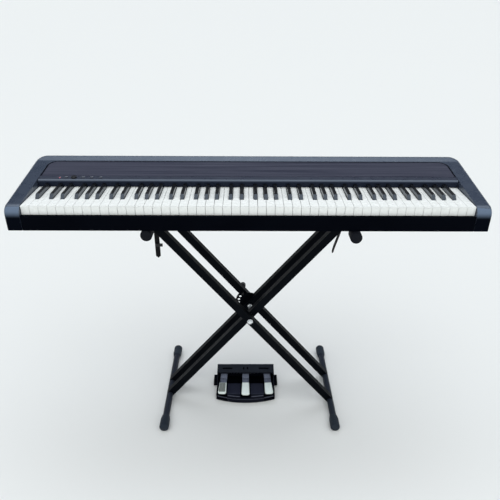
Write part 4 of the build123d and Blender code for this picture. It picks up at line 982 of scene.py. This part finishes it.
def bow_trim(name, line, side):
    """Fine raised line that follows the base's bowed front on one side of its middle; its lighter tone is a
    painted highlight.
    """
    start, end, inset, height = line
    low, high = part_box("pedal_base")
    unit = (low.x + high.x) / 2
    points = []
    for step in range(TRIM_STEPS + 1):
        across = start + (end - start) * step / TRIM_STEPS
        y = low.y + inset + PEDAL_BOW * (across / PEDAL_HALF) ** 2
        points.append((unit + side * across, y, height))
    trim = draw_line(name, points)
    extrude((0, TRIM_W, 0))
    bpy.ops.mesh.select_all(action="SELECT")
    extrude((0, 0, -TRIM_T))
    close_mesh()
    ease_edges(trim, 0.3 * TRIM_T, 2)
    dress(trim, "pedal_unit", "pedal_plastic", TRIM_PAINTED_HIGHLIGHT)


# Case, controls and sockets


def rail_gap_shades():
    """Near-black strips behind the gaps at the front rail's ends: painted shade in the gaps."""
    low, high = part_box("front_rail")
    for hand, x in (("left", low.x), ("right", high.x)):
        shade_strip = block("rail_gap_shade_" + hand, (RAIL_SHADE_STRIP_W, RAIL_SHADE_STRIP_T, high.z - low.z))
        ease_edges(shade_strip, 0.2 * RAIL_SHADE_STRIP_T, 2)
        put(shade_strip, (x, low.y + RAIL_SHADE_STRIP_BACK, (low.z + high.z) / 2))
        dress(shade_strip, "piano", "rubber", PAINTED_SHADE_BLACK)


def panel_gap_shade():
    """Near-black bead in the gap at the sides and rear of the set-in panel: painted shade in the gap."""
    low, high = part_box("top_panel")
    depth = (high.y - low.y) / math.cos(DECK_TILT)
    shade_strip = block("panel_gap_shade", (high.x - low.x, depth, PANEL_SHADE_W))
    pick(shade_strip, edges=lambda a, b: min(a.y, b.y) > 0 and abs(a.z - b.z) > PANEL_SHADE_W / 2)
    bpy.ops.mesh.bevel(offset=PANEL_CORNER_R, segments=PANEL_CORNER_STEPS)
    finish_edit()
    cut_away(shade_strip, lambda centre, normal: normal.z < -FACING)
    pick(shade_strip, faces=lambda centre, normal: normal.z > FACING)
    bpy.ops.mesh.inset(thickness=PANEL_SHADE_LIP)
    bpy.ops.mesh.delete(type="FACE")
    finish_edit()
    cut_away(shade_strip, lambda centre, normal: normal.y < -FACING or centre.y < (PANEL_SHADE_W - depth) / 2)
    put(shade_strip, middle("top_panel"), (DECK_TILT, 0, 0))
    dress(shade_strip, "piano", "rubber", PAINTED_SHADE_BLACK)


def legends():
    """Plain printed dashes behind the controls, and a dot by the lamp."""
    strip_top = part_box("control_strip")[1]
    height = strip_top.z - (strip_top.y - LEGEND_Y) * math.tan(DECK_TILT)
    _, width, thickness = LEGEND_SIZE
    for node in CONTROLS:
        size = (LEGEND_DOT, width, thickness) if node == "power_led" else LEGEND_SIZE
        dash = block(node + "_legend", size)
        ease_edges(dash, 0.4 * thickness, 2)
        put(dash, (middle(node).x, LEGEND_Y, height), (DECK_TILT, 0, 0))
        dress(dash, "piano", "button_plastic", LEGEND_INK)


def socket_rings():
    """Pressed metal rings in the mouths of the round sockets."""
    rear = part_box("main_board")[1].y + SOCKET_RING_PROUD
    for mount in frame["record"]["mounts"]:
        if mount["kind"] != "bore":
            continue
        x, _, z = mount["pos_m"]
        bore = mount["dims"]["r_mm"] / 1000
        outer = bore + SOCKET_RING
        profile = [
            (bore, -SOCKET_RING_DEPTH),
            (bore, 0.0),
            (bore + 0.6 * SOCKET_RING, 0.0),
            (outer, -SOCKET_RING_CHAMFER),
            (outer, -SOCKET_RING_DEPTH),
            (bore, -SOCKET_RING_DEPTH),
        ]
        ring = turned(mount["name"] + "_ring", profile)
        put(ring, (x, rear, z), (-math.pi / 2, 0, 0))
        dress(ring, "piano", "bolt_steel")


# Studio


def make_studio():
    """Soft studio: bright ceiling at the rear, pale front, dim upper back, pale horizon and floor."""
    world = bpy.data.worlds.new("studio")
    bpy.context.scene.world = world
    world.use_nodes = True
    tree = world.node_tree
    direction = tree.nodes.new("ShaderNodeSeparateXYZ")
    tree.links.new(tree.nodes.new("ShaderNodeTexCoord").outputs["Generated"], direction.inputs["Vector"])
    back, up = direction.outputs["Y"], direction.outputs["Z"]
    walls = mixed(tree, ranged(tree, back, WALL_TURN), FRONT_TONE, BACK_TONE)
    sides = mixed(tree, ranged(tree, up, HORIZON_EDGE), HORIZON_TONE, walls)
    ceiling = mixed(tree, ranged(tree, back, CEILING_TURN), OVERHEAD_TONE, CEILING_TONE)
    sky = mixed(tree, ranged(tree, up, CEILING_EDGE), sides, ceiling)
    tree.links.new(sky, tree.nodes["Background"].inputs["Color"])
    bpy.ops.object.select_all(action="DESELECT")
    bpy.ops.mesh.primitive_circle_add(vertices=FLOOR_SIDES, radius=FLOOR_RADIUS, fill_type="NGON")
    floor = bpy.context.object
    floor.name = "floor"
    paint = moulded("floor_paint", FLOOR_TONE, FLOOR_TONE, rough=0.8, grain=60.0, level=0.3, edge=0.0)
    floor.data.materials.append(paint)


make_camera()
finish_nodes()
end_caps()
pivot_steel()
strap_left()
strap_right()
lock_coil()
for pedal, lean in (("pedal_left", 1), ("pedal_middle", 0), ("pedal_right", -1)):
    lever(pedal, lean)
    return_coil(pedal, lean)
for side, hand in ((-1, "left"), (1, "right")):
    bow_trim("pedal_lip_line_" + hand, LIP_LINE, side)
    bow_trim("pedal_skirt_line_" + hand, SKIRT_LINE, side)
rail_gap_shades()
panel_gap_shade()
legends()
socket_rings()
make_studio()
bpy.context.scene.view_settings.view_transform = "Standard"
